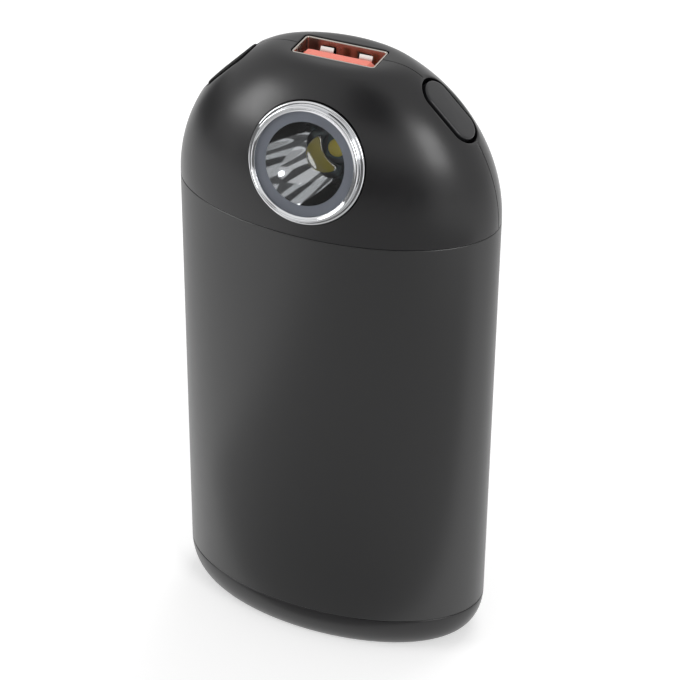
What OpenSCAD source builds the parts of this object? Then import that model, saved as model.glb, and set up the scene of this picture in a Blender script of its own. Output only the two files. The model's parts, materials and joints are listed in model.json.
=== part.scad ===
// Rechargeable hand warmer with a torch, an output socket and a push button
// Millimetres. The origin is the middle of the foot, +Z is up, X is the long axis and -Y is the torch side

/* [Body] */
// Wall of the cell holder outside the cells, at the narrow ends of the oval
end_wall = 3.9; // [3:0.1:6]
// Wall of the cell holder outside the cells, at the front and the back
front_wall = 2.3; // [1.8:0.1:4]
// Room above the cells up to the seam between sleeve and head
head_room = 7.6; // [7:0.1:12]
// Wall of the metal sleeve
sleeve_t = 1.2; // [0.9:0.1:1.4]
// Height of the end cap below the sleeve
cap_h = 6.8; // [6:0.1:8]
// Thickness of the end cap's floor
cap_t = 2; // [1.6:0.1:2.4]
// How far the foot is set in from the ends of the oval
foot_inset_w = 4.7; // [3:0.1:5.5]
// How far the foot is set in from the front and the back of the oval
foot_inset_d = 3.6; // [2.6:0.1:4.2]
// Height of the end cap's lip inside the sleeve
lip_h = 5; // [3:0.5:7]
// Wall of the end cap's lip
lip_t = 1.2; // [0.9:0.1:1.4]

/* [Head] */
// How far the flat on top lies below the apex of the head's ellipse
land_drop = 2.1; // [1.8:0.05:2.3]
// Wall of the head
dome_t = 2; // [1.8:0.1:2.2]
// Depth of the head's skirt inside the sleeve
skirt_h = 5; // [4.6:0.1:5.4]
// Wall of the skirt
skirt_t = 1.4; // [1.2:0.1:1.6]
// Distance from the side of the output socket to the middle of each shoulder flat
shoulder_reach = 11.38; // [10.8:0.02:12]
// Depth of the flats cut into the shoulders
facet_depth = 0.8; // [0.6:0.05:1]
// Radius of the pegs that line up the two halves
peg_r = 0.45; // [0.3:0.05:0.6]
// Length of the pegs past the middle plane
peg_l = 1.5; // [1:0.1:2]

/* [Torch] */
// Height of the torch's centre above the sleeve
torch_rise = 11.64; // [11:0.02:12.2]
// Upward tilt of the torch
torch_tilt = 15.5; // [11:0.5:16]
// How far the middle of the bezel's front lies behind the front of the body
torch_setback = 1; // [0.9:0.01:1.3]
// Radius of the bezel's round opening
bezel_mouth_r = 7.8; // [7.4:0.02:8]
// Width of the ledge that holds the lens in the bezel
lens_ledge = 0.2; // [0.16:0.02:0.3]
// Wall of the bezel's collar in the head
collar_t = 0.6; // [0.5:0.05:0.8]
// How far the bezel's flange overlaps the head
bezel_lip = 0.55; // [0.3:0.05:0.8]
// How far the face of the bezel's flange lies behind the bezel's front
bezel_step = 1.05; // [0.8:0.05:1.2]
// Thickness of the bezel's flange
bezel_flange_t = 1.2; // [1:0.1:1.4]
// Rounding of the bezel's outer edges
bezel_round = 0.25; // [0.15:0.05:0.3]
// Length of the whole bezel along its axis
bezel_l = 5.4; // [5:0.1:6]
// Thickness of the lens
lens_t = 0.4; // [0.3:0.05:0.5]
// Depth of the lens face behind the bezel's front
lens_depth = 0.45; // [0.35:0.05:0.6]
// Width of the bowl's flat rim
bowl_rim = 1.7; // [1.2:0.05:2.2]
// Radius of the hole at the bowl's bottom
bowl_base_r = 2.4; // [2.2:0.05:2.8]
// Depth of the bowl
bowl_h = 12.25; // [12:0.05:12.4]
// Wall of the bowl and thickness of its rim
bowl_t = 0.5; // [0.4:0.05:0.6]
// Radius of the torch's small board
led_board_r = 4.1; // [3.9:0.05:4.2]
// Thickness of the torch's small board
led_board_t = 0.8; // [0.6:0.05:0.9]
// Side of the light-emitting package
led_w = 3.4; // [3:0.1:3.6]
// Radius of the clear dome on the package
led_dome_r = 1.4; // [1.2:0.05:1.5]

/* [Output socket] */
// Width of the output socket's shell
usb_w = 13.2; // [13:0.05:13.4]
// Depth of the output socket's shell
usb_d = 5.7; // [5.5:0.05:5.8]
// Height of the output socket's shell
usb_h = 8.98; // [8:0.01:9.5]
// Room between the torch's cup and the foot of the output socket
usb_clear = 0.35; // [0.2:0.05:1.2]
// Wall of the output socket's shell
usb_t = 0.3; // [0.25:0.05:0.4]
// Open space on each side of the plastic tongue
tongue_side = 0.7; // [0.5:0.05:0.8]
// Thickness of the plastic tongue
tongue_t = 1.84; // [1.7:0.02:1.95]
// Depth of the tongue's end below the rim
tongue_drop = 0.5; // [0.4:0.05:0.8]

/* [Input socket] */
// Width of the charging socket's shell
input_w = 8.94; // [8.8:0.02:9]
// Thickness of the charging socket's shell
input_d = 3.26; // [3.2:0.02:3.3]
// Room between the charging socket's board and the output socket
input_clear = 0.6; // [0.3:0.1:1.5]
// Wall of the charging socket's shell
input_t = 0.25; // [0.2:0.05:0.3]
// Depth of the recess round the charging socket
pocket_depth = 1; // [0.8:0.05:1.2]
// Width of the little board that carries the charging socket
input_board_w = 9.6; // [9.2:0.1:9.8]
// How far the cover's plug reaches into the charging socket
plug_l = 1.8; // [1.4:0.1:2.4]

/* [Button] */
// Length of the button along the arch
button_l = 10.4; // [10:0.01:11]
// Width of the button
button_w = 5; // [4.6:0.05:5.4]
// Open gap round the button
button_gap = 0.55; // [0.45:0.05:0.6]
// How far the button's face stands above the shoulder's flat
button_rise = 0.35; // [0.2:0.05:0.5]
// Travel of the button
button_travel = 0.4; // [0.3:0.05:0.5]
// Thickness of the button's inner flange
flange_t = 0.8; // [0.6:0.1:1]
// Width of the flange past the button's side
flange_reach = 0.75; // [0.65:0.05:0.85]
// Side of the square push switch
switch_w = 6; // [5.8:0.1:6]
// Thickness of the push switch's body
switch_t = 3.4; // [3:0.1:3.6]
// Radius of the switch's plunger
plunger_r = 1.75; // [1.5:0.05:2]

/* [Cells] */
// Diameter of each cell
cell_d = 18.4; // [18:0.1:18.6]
// Length of each cell
cell_l = 65.2; // [64.8:0.1:65.6]
// Thickness of the nickel strips
strip_t = 0.2; // [0.1:0.05:0.3]
// Width of the nickel strips
strip_w = 7; // [6:0.5:8]
// Thickness of the insulating sheets
insulator_t = 0.3; // [0.2:0.05:0.4]
// Thickness of the foam under the cells
bottom_pad_t = 1.5; // [1.2:0.1:1.8]

/* [Heaters and cell holder] */
// Thickness of the film heaters
heater_t = 0.3; // [0.2:0.05:0.4]
// Thickness of the foam behind the film heaters
pad_t = 0.9; // [0.7:0.05:1]
// Distance from the middle plane at which the films and foams stop
heater_edge = 4; // [3:0.1:6]
// Wall left between the two cell bores
web_t = 1; // [0.8:0.1:1.2]
// Length of cell that the holder leaves bare at each end
cell_bare = 4; // [3.6:0.1:5]
// Width of the wire channels in the holder
channel_w = 3.2; // [2.8:0.1:3.6]
// Depth of the wire channels in the holder
channel_d = 2.6; // [2.4:0.1:2.8]

/* [Electronics] */
// Thickness of the main board
board_t = 1.2; // [1:0.1:1.4]
// Clearance between the main board's arch and the head
board_margin = 1.5; // [1.3:0.1:1.8]
// Room on each side of the main board's lower tab
tab_clear = 1; // [0.5:0.1:3]
// Radius of the screws that close the head
head_screw_r = 0.9; // [0.8:0.05:1]
// Distance of the head screws from the narrow ends of the skirt
head_screw_inset = 8.9; // [8:0.1:10]
// Radius of the screws that hold the main board
board_screw_r = 0.8; // [0.7:0.05:0.9]
// Distance of the board screws from the main board's edge
board_screw_inset = 4.5; // [3.5:0.1:6]
// Radius of the thick leads
lead_r = 0.6; // [0.5:0.05:0.65]
// Radius of the thin leads
thin_lead_r = 0.3; // [0.2:0.05:0.35]

/* [Fits] */
// Clearance between fixed pieces that slip together
fit_gap = 0.1; // [0.05:0.01:0.12]
// Clearance of a cell in its bore
cell_fit = 0.2; // [0.15:0.01:0.25]
// Clearance of the output socket in its hole
usb_gap = 0.15; // [0.1:0.01:0.2]
// Radial clearance of the switch's plunger
plunger_gap = 0.05; // [0.03:0.01:0.08]

/* [Hidden] */

// Steps of the round shapes
round_fn = 96;
small_fn = 48;

// Overrun of a cut past the face it opens
cut = 0.5;
// Cells stand on the foam, the insulator and the lower strip
cell_x = cell_d / 2 + cell_fit + web_t / 2;
cell_z = cap_t + bottom_pad_t + insulator_t + strip_t;
cell_top = cell_z + cell_l;

// Half sizes of the cell holder, the foam, the heater film and the sleeve, each round the one before
frame_a = cell_x + cell_d / 2 + end_wall;
frame_b = cell_d / 2 + front_wall;
pad_a = frame_a + fit_gap + pad_t;
pad_b = frame_b + fit_gap + pad_t;
film_a = pad_a + fit_gap + heater_t;
film_b = pad_b + fit_gap + heater_t;
in_a = film_a + fit_gap;
in_b = film_b + fit_gap;
out_a = in_a + sleeve_t;
out_b = in_b + sleeve_t;

// Heights up the body
seam_z = cell_top + head_room;
// Size of a box that is larger than the whole part
reach = 2 * (2 * out_a + seam_z);
lip_top = cap_h + lip_h;
skirt_z = seam_z - skirt_h;

// Half sizes of the skirt, the lip and the head's hollow
slip_a = in_a - fit_gap;
slip_b = in_b - fit_gap;
hollow_a = out_a - dome_t;
hollow_b = out_b - dome_t;
// How far the skirt runs up inside the head's wall
skirt_root = dome_t / 2;
// How far the lip runs down inside the cap's wall
lip_root = lip_t;

// Rings and sides of the end cap's rounded form and of its lip
cap_rings = 7;
cap_sides = 72;

// The cell holder leaves the cells' ends bare for the strips
frame_z = cell_z + cell_bare;
frame_top = cell_top - cell_bare / 2;
// Length of each strip and sheet past the cells' centres
strip_over = strip_w / 2;
sheet_over = strip_over + lead_r;
sheet_w = strip_w + 3 * lead_r;

// The films and foams stop short of the lip and the skirt by their own share of the lip
film_gap = lip_h / 5;
film_z = lip_top + film_gap;
film_top = skirt_z - film_gap;
pad_top = frame_top - film_gap;

// Radii of the bezel, from the lens outwards
seat_r = bezel_mouth_r + lens_ledge;
bowl_mouth_r = seat_r - fit_gap - bowl_rim;
collar_r = seat_r + collar_t;
bezel_r = collar_r + bezel_lip;
// Depth of the flange's rear face
bezel_h = bezel_step + bezel_flange_t;

// Frame of the torch: its front plane and its axis
torch_z = seam_z + torch_rise;
torch_y = out_b - torch_setback;

// Depths along the torch's axis, from the bezel's front inwards
lens_back = lens_depth + lens_t;
bowl_front = lens_back + fit_gap;
bowl_back = bowl_front + bowl_h;
bowl_steps = 16;
led_face = bowl_back + led_board_t / 2 + fit_gap;
led_board_back = led_face + led_board_t;
led_package_h = led_board_t / 2;
phosphor_t = fit_gap;
phosphor_r = led_dome_r * 0.8;
// The cup's straight rear part, its cone and its front part
cup_air = 0.33;
cup_r = led_board_r + fit_gap;
cup_t = bowl_t;
cup_front = bowl_front + bowl_t + fit_gap;
cup_shoulder = cup_front + cup_t * 2;
cup_neck = bowl_back - bowl_h * (pow(cup_r - cup_air - bowl_t, 2) - pow(bowl_base_r, 2))
  / (pow(bowl_mouth_r, 2) - pow(bowl_base_r, 2));
cup_back = led_board_back + fit_gap + cup_t;
cup_mouth_r = seat_r - fit_gap;

// Outer radius of the torch's cup at a depth, and the top of the cup below the output socket
function cup_out(depth) =
  depth > cup_neck ? cup_r + cup_t
  : cup_mouth_r + (cup_r + cup_t - cup_mouth_r) * (depth - cup_shoulder) / (cup_neck - cup_shoulder);
function cup_top(depth) =
  [-torch_y + depth * cos(torch_tilt) + cup_out(depth) * sin(torch_tilt),
   torch_z - depth * sin(torch_tilt) + cup_out(depth) * cos(torch_tilt)];
cup_steps = 48;
cup_tops = [for (i = [0:cup_steps]) cup_top(cup_shoulder + (cup_back - cup_shoulder) * i / cup_steps)];
cup_top_z = max([for (p = cup_tops) if (p[0] >= -usb_d / 2 - usb_clear) p[1]]);

// The output socket stands just above the torch's cup, and its rim sets the height of the head
usb_z = cup_top_z + usb_clear;
usb_top = usb_z + usb_h;
land_z = usb_top + fit_gap;
dome_h = land_z + land_drop - seam_z;
hollow_h = dome_h - dome_t;

// Shoulder frame: the arch's point, its turn away from the top and the lean of its outward normal
shoulder_x = usb_w / 2 + shoulder_reach;
shoulder_turn = asin(shoulder_x / out_a);
shoulder_z = seam_z + dome_h * cos(shoulder_turn);
shoulder_lean = atan2(sin(shoulder_turn) / out_a, cos(shoulder_turn) / dome_h);

// Depths along the right shoulder's normal, from the arch inwards
button_face = facet_depth - button_rise;
flange_top = dome_t + flange_reach * 2;
flange_back = flange_top + flange_t;
stem_r = plunger_r * 2 / 3;
stem_back = flange_back + flange_t;
plunger_show = button_travel * 3;
switch_top = stem_back + plunger_show;
plunger_in = flange_t * 1.5;
switch_bore = plunger_in + button_travel * 2;
// The main board lies behind the switch and the output socket, and the switch lies against it
board_y = max(switch_w, usb_d + 2 * usb_gap) / 2;
switch_y = board_y - switch_w / 2;

// Depths along the left shoulder's normal
pocket_floor = facet_depth + pocket_depth;
input_face = pocket_floor + usb_gap;
// The charging socket's board ends where its inner corner comes near the output socket
input_board_back = (shoulder_reach - input_clear - input_board_w / 2 * cos(shoulder_lean))
  / sin(shoulder_lean);
input_back = input_board_back - board_t;
input_l = input_back - input_face;
boss_back = input_face + dome_t * 3 / 4;
boss_wall = dome_t / 2;
input_base = input_l / 4;
input_tongue_w = input_w * 0.75;
input_tongue_t = input_d * 0.215;
input_board_front = boss_back + fit_gap;
input_board_t = board_y - input_d / 2 - 2 * fit_gap;
// Hollow of the cover's plug, which passes round the tongue and its contacts
plug_hollow_w = input_tongue_w + 4 * fit_gap;
plug_hollow_t = input_tongue_t + input_t / 2 + 4 * fit_gap;

// Output socket
usb_base = usb_h / 5;
tongue_w = usb_w - 2 * (usb_t + tongue_side);
// Back face of the tongue lies near the socket's middle plane
tongue_y = tongue_t + usb_t / 6;
tongue_chamfer = tongue_t / 3;
spring_x = 3.1;
spring_w = 2.1;
spring_t = usb_t;
spring_drop = 0.9;
spring_l = usb_h / 2;
// Lean of the springs on the front and the rear wall
spring_leans = [3.5, 6.5];
contact_w = 1;
contact_t = 0.2;
contact_pitch = 2.5;
contact_places = [-1.4, -0.4, 0.4, 1.4];

// Main board
board_back = board_y + board_t;
board_share = sqrt(1 - pow(board_back / hollow_b, 2));
board_a = hollow_a * board_share - board_margin;
board_h = hollow_h * board_share - board_margin;
board_screw_x = board_a - board_screw_inset;
board_low = seam_z + skirt_root / 2;
tab_low = cell_top + strip_t + insulator_t + board_t * 1.5;
board_screw_rise = 2.6;
board_screw_z = seam_z + board_screw_rise;
board_boss_r = 2.2;
board_screw_l = 4.8;
screw_head_r = 1.5;
screw_head_t = 1.2;
screw_bite = 0.05;
screw_clear = 0.2;

// Head screws cross the skirts below the seam, where the sleeve hides them
head_screw_z = seam_z - skirt_h / 2;
head_screw_x = slip_a - head_screw_inset;
head_boss_r = 2.3;
head_sink = 2.96;
head_seat_y = slip_b * sqrt(1 - pow(head_screw_x / slip_a, 2)) - head_sink;
tab_half_w = head_screw_x - head_boss_r - tab_clear;
head_screw_l = 11.5;
head_pilot_l = 5.5;

// Chips on the main board: width, height and thickness
inductor_w = 6;
inductor_t = 2.8;
chip_w = 5;
chip_t = 1;
soic_w = 4.9;
soic_h = 3.9;
soic_t = 1.5;
cap_w = 2;
cap_d = 1.25;
chip_gap = 2.5;
chip_rise = 3.6;
chip_x = board_screw_x - screw_head_r - chip_gap - inductor_w / 2;
chip_z = seam_z + chip_rise;
soic_x = 6;
soic_rise = 9;
soic_z = seam_z + soic_rise;

// Leads
heater_lead_x = 3;
heater_lead_r = 0.45;
heater_lead_rise = film_top - 1.8;
positive_x = 6;
thermistor_r = 1;
thermistor_l = 4;
lead_sides = 8;

// Colours
black_metal = [0.16, 0.16, 0.17];
black_plastic = [0.11, 0.11, 0.12];
grey_plastic = [0.24, 0.24, 0.25];
chrome = [0.85, 0.85, 0.87];
silver = [0.72, 0.72, 0.74];
orange = [0.95, 0.5, 0.45];
gold = [0.83, 0.68, 0.32];
green = [0.1, 0.35, 0.2];
amber = [0.75, 0.45, 0.12];
foam = [0.3, 0.3, 0.32];
cream = [0.85, 0.83, 0.76];

// Shapes shared by many pieces

module ellipsoid(a, b, c) {
  scale([a, b, c]) sphere(r = 1, $fn = round_fn);
}

module oval(a, b, z0, z1) {
  translate([0, 0, z0]) scale([a, b, 1]) cylinder(r = 1, h = z1 - z0, $fn = round_fn);
}

module oval_tube(a, b, wall, z0, z1) {
  difference() {
    oval(a, b, z0, z1);
    oval(a - wall, b - wall, z0 - cut, z1 + cut);
  }
}

// Everything on one side of a plane square to Y, in front when side is -1
module half_space(side, y = 0) {
  translate([-reach, side < 0 ? -reach + y : y, -reach]) cube([2 * reach, reach, 2 * reach]);
}

// Pill with its long way along X, standing on z = 0
module pill(l, w, h) {
  for (side = [-1, 1]) translate([side * (l - w) / 2, 0, 0]) cylinder(d = w, h = h, $fn = small_fn);
  translate([-(l - w) / 2, -w / 2, 0]) cube([l - w, w, h]);
}

// Box centred on X and Y, from z0 to z1
module block(w, d, z0, z1) {
  translate([-w / 2, -d / 2, z0]) cube([w, d, z1 - z0]);
}

// Cylinder along +Y from y0 to y1
module rod_y(x, z, r, y0, y1) {
  translate([x, y0, z]) rotate([-90, 0, 0]) cylinder(r = r, h = y1 - y0, $fn = small_fn);
}

// Torch frame: z = 0 is the bezel's front plane and +Z points out of the torch
module at_torch() {
  translate([0, -torch_y, torch_z]) rotate([90 - torch_tilt, 0, 0]) children();
}

// Shoulder frame: z = 0 is the arch and +Z points out, on the right when side is 1
module at_shoulder(side) {
  translate([side * shoulder_x, 0, shoulder_z]) rotate([0, side * shoulder_lean, 0]) children();
}

// Body and head

module body_sleeve() {
  color(black_metal) oval_tube(out_a, out_b, sleeve_t, cap_h, seam_z);
}

module dome_outer() {
  intersection() {
    translate([0, 0, seam_z]) ellipsoid(out_a, out_b, dome_h);
    translate([-reach, -reach, seam_z]) cube([2 * reach, 2 * reach, land_z - seam_z]);
  }
}

module dome_hollow() {
  intersection() {
    translate([0, 0, seam_z]) ellipsoid(hollow_a, hollow_b, hollow_h);
    translate([-reach, -reach, seam_z]) cube([2 * reach, 2 * reach, reach]);
  }
  oval(slip_a - skirt_t, slip_b - skirt_t, skirt_z - cut, seam_z + skirt_root);
}

module dome_wall() {
  difference() {
    union() {
      dome_outer();
      oval(slip_a, slip_b, skirt_z, seam_z + skirt_root);
    }
    dome_hollow();
  }
}

// Block inside the left shoulder that carries the recess of the charging socket
module input_boss() {
  intersection() {
    translate([0, 0, seam_z]) ellipsoid(out_a - dome_t / 4, out_b - dome_t / 4, dome_h - dome_t / 4);
    at_shoulder(-1) block(input_w + 2 * (boss_wall + usb_gap), 2 * button_w, -boss_back, 0);
  }
}

// Posts that the head screws pass, clipped to the skirt's outer face
module head_bosses() {
  intersection() {
    oval(slip_a - skirt_t / 4, slip_b - skirt_t / 4, skirt_z - cut, seam_z);
    for (side = [-1, 1]) rod_y(side * head_screw_x, head_screw_z, head_boss_r, -out_b, out_b);
  }
}

// Posts on the rear half that carry the main board
module board_bosses() {
  intersection() {
    translate([0, 0, seam_z]) ellipsoid(out_a - dome_t / 4, out_b - dome_t / 4, dome_h - dome_t / 4);
    for (side = [-1, 1]) rod_y(side * board_screw_x, board_screw_z, board_boss_r, board_back, out_b);
  }
}

module torch_hole() {
  at_torch() {
    translate([0, 0, -bezel_h]) cylinder(r = bezel_r + fit_gap, h = bezel_l * 2, $fn = round_fn);
    translate([0, 0, -bezel_l * 2]) cylinder(r = collar_r + fit_gap, h = bezel_l * 2, $fn = round_fn);
  }
}

module usb_hole() {
  block(usb_w + 2 * usb_gap, usb_d + 2 * usb_gap, usb_z, land_z + cut);
}

module shoulder_cuts() {
  for (side = [-1, 1]) at_shoulder(side) block(4 * out_a, 4 * out_b, -facet_depth, out_a);
  at_shoulder(1) translate([0, 0, -boss_back - dome_t])
    pill(button_l + 2 * button_gap, button_w + 2 * button_gap, boss_back + dome_t);
  at_shoulder(-1) {
    translate([0, 0, -pocket_floor])
      pill(button_l + 2 * button_gap, button_w + 2 * button_gap, pocket_floor);
    translate([0, 0, -boss_back - cut]) pill(input_w + 2 * fit_gap, input_d + 2 * fit_gap, boss_back);
  }
}

// Places of the pegs along the arch, as angles from the top
peg_turns = [-70, -22, 22, 70];

module pegs(r, y1) {
  for (turn = peg_turns)
    rod_y((out_a - dome_t / 2) * sin(turn), seam_z + (dome_h - dome_t / 2) * cos(turn), r, -peg_l, y1);
}

module dome_front() {
  color(black_plastic) {
    difference() {
      union() {
        intersection() {
          union() {
            dome_wall();
            input_boss();
            head_bosses();
          }
          half_space(-1);
        }
        pegs(peg_r, peg_l - fit_gap);
      }
      torch_hole();
      usb_hole();
      shoulder_cuts();
      for (side = [-1, 1])
        rod_y(side * head_screw_x, head_screw_z, head_screw_r + screw_bite, -head_pilot_l, cut);
    }
  }
}

module dome_rear() {
  color(black_plastic) {
    difference() {
      intersection() {
        union() {
          dome_wall();
          input_boss();
          head_bosses();
          board_bosses();
        }
        half_space(1);
      }
      pegs(peg_r + fit_gap, peg_l);
      usb_hole();
      shoulder_cuts();
      for (side = [-1, 1]) {
        rod_y(side * head_screw_x, head_screw_z, head_screw_r + screw_clear, -cut, out_b);
        rod_y(side * head_screw_x, head_screw_z, screw_head_r + screw_clear, head_seat_y, out_b);
        rod_y(side * board_screw_x, board_screw_z, board_screw_r + screw_bite, board_back - cut,
          board_back + board_screw_l - board_t);
      }
    }
  }
}

// One ring of points of the end cap's outside at height z
function cap_inset(z) = 1 - sqrt(1 - pow((cap_h - z) / cap_h, 2));
function cap_ring(z) = [for (i = [0:cap_sides - 1])
  [(out_a - foot_inset_w * cap_inset(z)) * cos(360 * i / cap_sides),
   (out_b - foot_inset_d * cap_inset(z)) * sin(360 * i / cap_sides), z]];
// Ring heights bunch together near the foot, where the curve turns fastest
function cap_level(j) = cap_h * (1 - cos(90 * j / cap_rings));

module cap_form() {
  points = [for (j = [0:cap_rings]) each cap_ring(cap_level(j))];
  sides = [for (j = [0:cap_rings - 1]) for (i = [0:cap_sides - 1])
    let (k = (i + 1) % cap_sides, low = j * cap_sides, high = low + cap_sides)
      each [[low + i, high + i, high + k], [low + i, high + k, low + k]]];
  foot = [for (i = [0:cap_sides - 1]) i];
  top = [for (i = [0:cap_sides - 1]) (cap_rings + 1) * cap_sides - 1 - i];
  polyhedron(points = points, faces = concat([foot, top], sides), convexity = 2);
}

// Oval with as many flat sides as the end cap's form has
module cap_oval(a, b, z0, z1) {
  translate([0, 0, z0]) linear_extrude(height = z1 - z0)
    polygon([for (i = [0:cap_sides - 1]) [a * cos(360 * i / cap_sides), b * sin(360 * i / cap_sides)]]);
}

module bottom_cap() {
  color(black_plastic) difference() {
    union() {
      cap_form();
      cap_oval(slip_a, slip_b, cap_h - lip_root, lip_top);
    }
    cap_oval(slip_a - lip_t, slip_b - lip_t, cap_t, lip_top + cut);
  }
}

// Torch

// Quarter round of an outer edge of radius r at a depth, from the front to the side
function bezel_edge(r, depth) = [for (i = [0:5])
  [r - bezel_round + bezel_round * sin(18 * i), -depth - bezel_round + bezel_round * cos(18 * i)]];

// The ring's crest falls inwards to the mouth and stands on a wider flange
module torch_bezel() {
  color(chrome) at_torch() rotate_extrude($fn = round_fn)
    polygon(concat([[bezel_mouth_r, -lens_depth / 2]], bezel_edge(collar_r, 0), bezel_edge(bezel_r, bezel_step),
      [[bezel_r, -bezel_h], [collar_r, -bezel_h], [collar_r, -bezel_l], [seat_r, -bezel_l],
       [seat_r, -lens_depth], [bezel_mouth_r, -lens_depth]]));
}

module torch_lens() {
  color([0.8, 0.85, 0.9, 0.4]) at_torch() translate([0, 0, -lens_back])
    cylinder(r = seat_r - fit_gap, h = lens_t, $fn = round_fn);
}

// Radius of the bowl at a share of its depth, from the bottom: a parabola
function bowl_radius(share) =
  sqrt(pow(bowl_base_r, 2) + share * (pow(bowl_mouth_r, 2) - pow(bowl_base_r, 2)));

module torch_reflector() {
  inside = [for (i = [0:bowl_steps]) let (s = pow(i / bowl_steps, 2)) [bowl_radius(s), -bowl_back + s * bowl_h]];
  outside = [for (i = [bowl_steps - 1:-1:0]) let (s = pow(i / bowl_steps, 2))
    [bowl_radius(s) + bowl_t, -bowl_back + s * (bowl_h - bowl_t)]];
  color(silver) at_torch() rotate_extrude($fn = round_fn)
    polygon(concat(inside, [[seat_r - fit_gap, -bowl_front], [seat_r - fit_gap, -bowl_front - bowl_t],
      [bowl_mouth_r + bowl_t, -bowl_front - bowl_t]], outside));
}

module torch_cup() {
  color(grey_plastic) at_torch() difference() {
    rotate_extrude($fn = round_fn) polygon([
      [0, -cup_back], [cup_r + cup_t, -cup_back], [cup_r + cup_t, -cup_neck],
      [cup_mouth_r, -cup_shoulder], [cup_mouth_r, -cup_front], [cup_mouth_r - cup_t, -cup_front],
      [cup_mouth_r - cup_t, -cup_shoulder], [cup_r, -cup_neck], [cup_r, -cup_back + cup_t],
      [0, -cup_back + cup_t]]);
    for (side = [-1, 1]) translate([side * led_board_r / 3, 0, -cup_back - cut])
      cylinder(r = thin_lead_r + screw_clear, h = cup_t + 2 * cut, $fn = small_fn);
  }
}

module led_board() {
  color(cream) at_torch() translate([0, 0, -led_board_back])
    cylinder(r = led_board_r, h = led_board_t, $fn = round_fn);
}

module led_package() {
  color("white") at_torch() block(led_w, led_w, -led_face, -led_face + led_package_h);
}

module led_phosphor() {
  color([0.8, 0.75, 0.2]) at_torch() translate([0, 0, -led_face + led_package_h])
    cylinder(r = phosphor_r, h = phosphor_t, $fn = small_fn);
}

module led_dome() {
  color([0.9, 0.9, 0.8, 0.5]) at_torch() translate([0, 0, -led_face + led_package_h + phosphor_t])
    intersection() {
      sphere(r = led_dome_r, $fn = small_fn);
      block(2 * led_w, 2 * led_w, 0, led_w);
    }
}

// Output socket

// Leaf spring punched from the shell: a thin blade that leans into the socket
module usb_springs() {
  for (side = [0, 1], x = [-spring_x, spring_x])
    translate([x, 0, usb_top - spring_drop - spring_l]) mirror([0, 1 - side, 0])
      translate([0, usb_d / 2 - usb_t / 2, 0]) rotate([spring_leans[side], 0, 0])
        block(spring_w, spring_t, 0, spring_l);
}

module usb_a_shell() {
  color(silver) {
    difference() {
      block(usb_w, usb_d, usb_z, usb_top);
      block(usb_w - 2 * usb_t, usb_d - 2 * usb_t, usb_z + usb_t, usb_top + cut);
      for (x = [-spring_x, spring_x]) translate([x, 0, 0])
        block(spring_w + 2 * usb_gap, usb_d + 2 * cut, usb_top - spring_drop - spring_l + usb_t,
          usb_top - spring_drop);
    }
    intersection() {
      usb_springs();
      block(usb_w, usb_d, usb_z, usb_top);
    }
  }
}

module usb_a_tongue() {
  color(orange) difference() {
    union() {
      block(usb_w - 2 * usb_t - 2 * fit_gap, usb_d - 2 * usb_t - 2 * fit_gap, usb_z + usb_t, usb_z + usb_base);
      translate([0, -tongue_y + tongue_t / 2, 0])
        block(tongue_w, tongue_t, usb_z + usb_base - cut, usb_top - tongue_drop);
    }
    for (side = [-1, 1])
      translate([side * tongue_w / 2, -tongue_y + tongue_t / 2, usb_top - tongue_drop]) rotate([0, 45, 0])
        cube([tongue_chamfer * sqrt(2), tongue_t + 2 * cut, tongue_chamfer * sqrt(2)], center = true);
  }
}

module usb_a_contacts() {
  color(gold) for (place = contact_places)
    translate([place * contact_pitch, -tongue_y + tongue_t + contact_t / 2, 0])
      block(contact_w, contact_t, usb_z + usb_base, usb_top - tongue_drop - 2 * tongue_chamfer);
}

// Charging socket on the left shoulder

module input_shell() {
  color(silver) at_shoulder(-1) difference() {
    translate([0, 0, -input_back]) pill(input_w, input_d, input_l);
    translate([0, 0, -input_back + input_base])
      pill(input_w - 2 * input_t, input_d - 2 * input_t, input_l);
  }
}

module input_tongue() {
  color(black_plastic) at_shoulder(-1)
    block(input_tongue_w, input_tongue_t, -input_back + input_base, -input_face - input_t * 2);
}

module input_contacts() {
  color(gold) at_shoulder(-1) for (side = [-1, 1], i = [-2:2])
    translate([i * input_tongue_w / 6, side * (input_tongue_t + input_t / 4) / 2, 0])
      block(input_tongue_w / 12, input_t / 4, -input_back + input_base, -input_face - input_t * 4);
}

module input_board() {
  color(green) at_shoulder(-1) translate([0, input_d / 2 + fit_gap + input_board_t / 2, 0])
    block(input_board_w, input_board_t, -input_board_back, -input_board_front);
}

// Cover that closes the recess: a pill with a hollow plug that enters the socket
module input_cover() {
  color(black_plastic) at_shoulder(-1) {
    translate([0, 0, -pocket_floor + fit_gap]) pill(button_l, button_w, pocket_floor - fit_gap - button_face);
    difference() {
      translate([0, 0, -input_face - plug_l])
        pill(input_w - 2 * (input_t + fit_gap), input_d - 2 * (input_t + fit_gap), plug_l + usb_gap + 2 * fit_gap);
      translate([0, 0, -input_face - plug_l - cut])
        pill(plug_hollow_w, plug_hollow_t, plug_l + cut);
    }
  }
}

// Button and switch on the right shoulder

module button_cap() {
  color(grey_plastic) at_shoulder(1) {
    translate([0, 0, -flange_back]) pill(button_l, button_w, flange_back - button_face);
    translate([0, 0, -flange_back])
      pill(button_l + 2 * flange_reach, button_w + 2 * flange_reach, flange_t);
    translate([0, 0, -stem_back]) cylinder(r = stem_r, h = stem_back - flange_back + cut, $fn = small_fn);
  }
}

module switch_plunger() {
  color(cream) at_shoulder(1) translate([0, 0, -switch_top - plunger_in])
    cylinder(r = plunger_r, h = plunger_in + plunger_show, $fn = small_fn);
}

module switch_body() {
  color(grey_plastic) at_shoulder(1) difference() {
    translate([0, switch_y, 0]) block(switch_w, switch_w, -switch_top - switch_t, -switch_top);
    translate([0, 0, -switch_top - switch_bore])
      cylinder(r = plunger_r + plunger_gap, h = switch_bore + cut, $fn = small_fn);
  }
}

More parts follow.
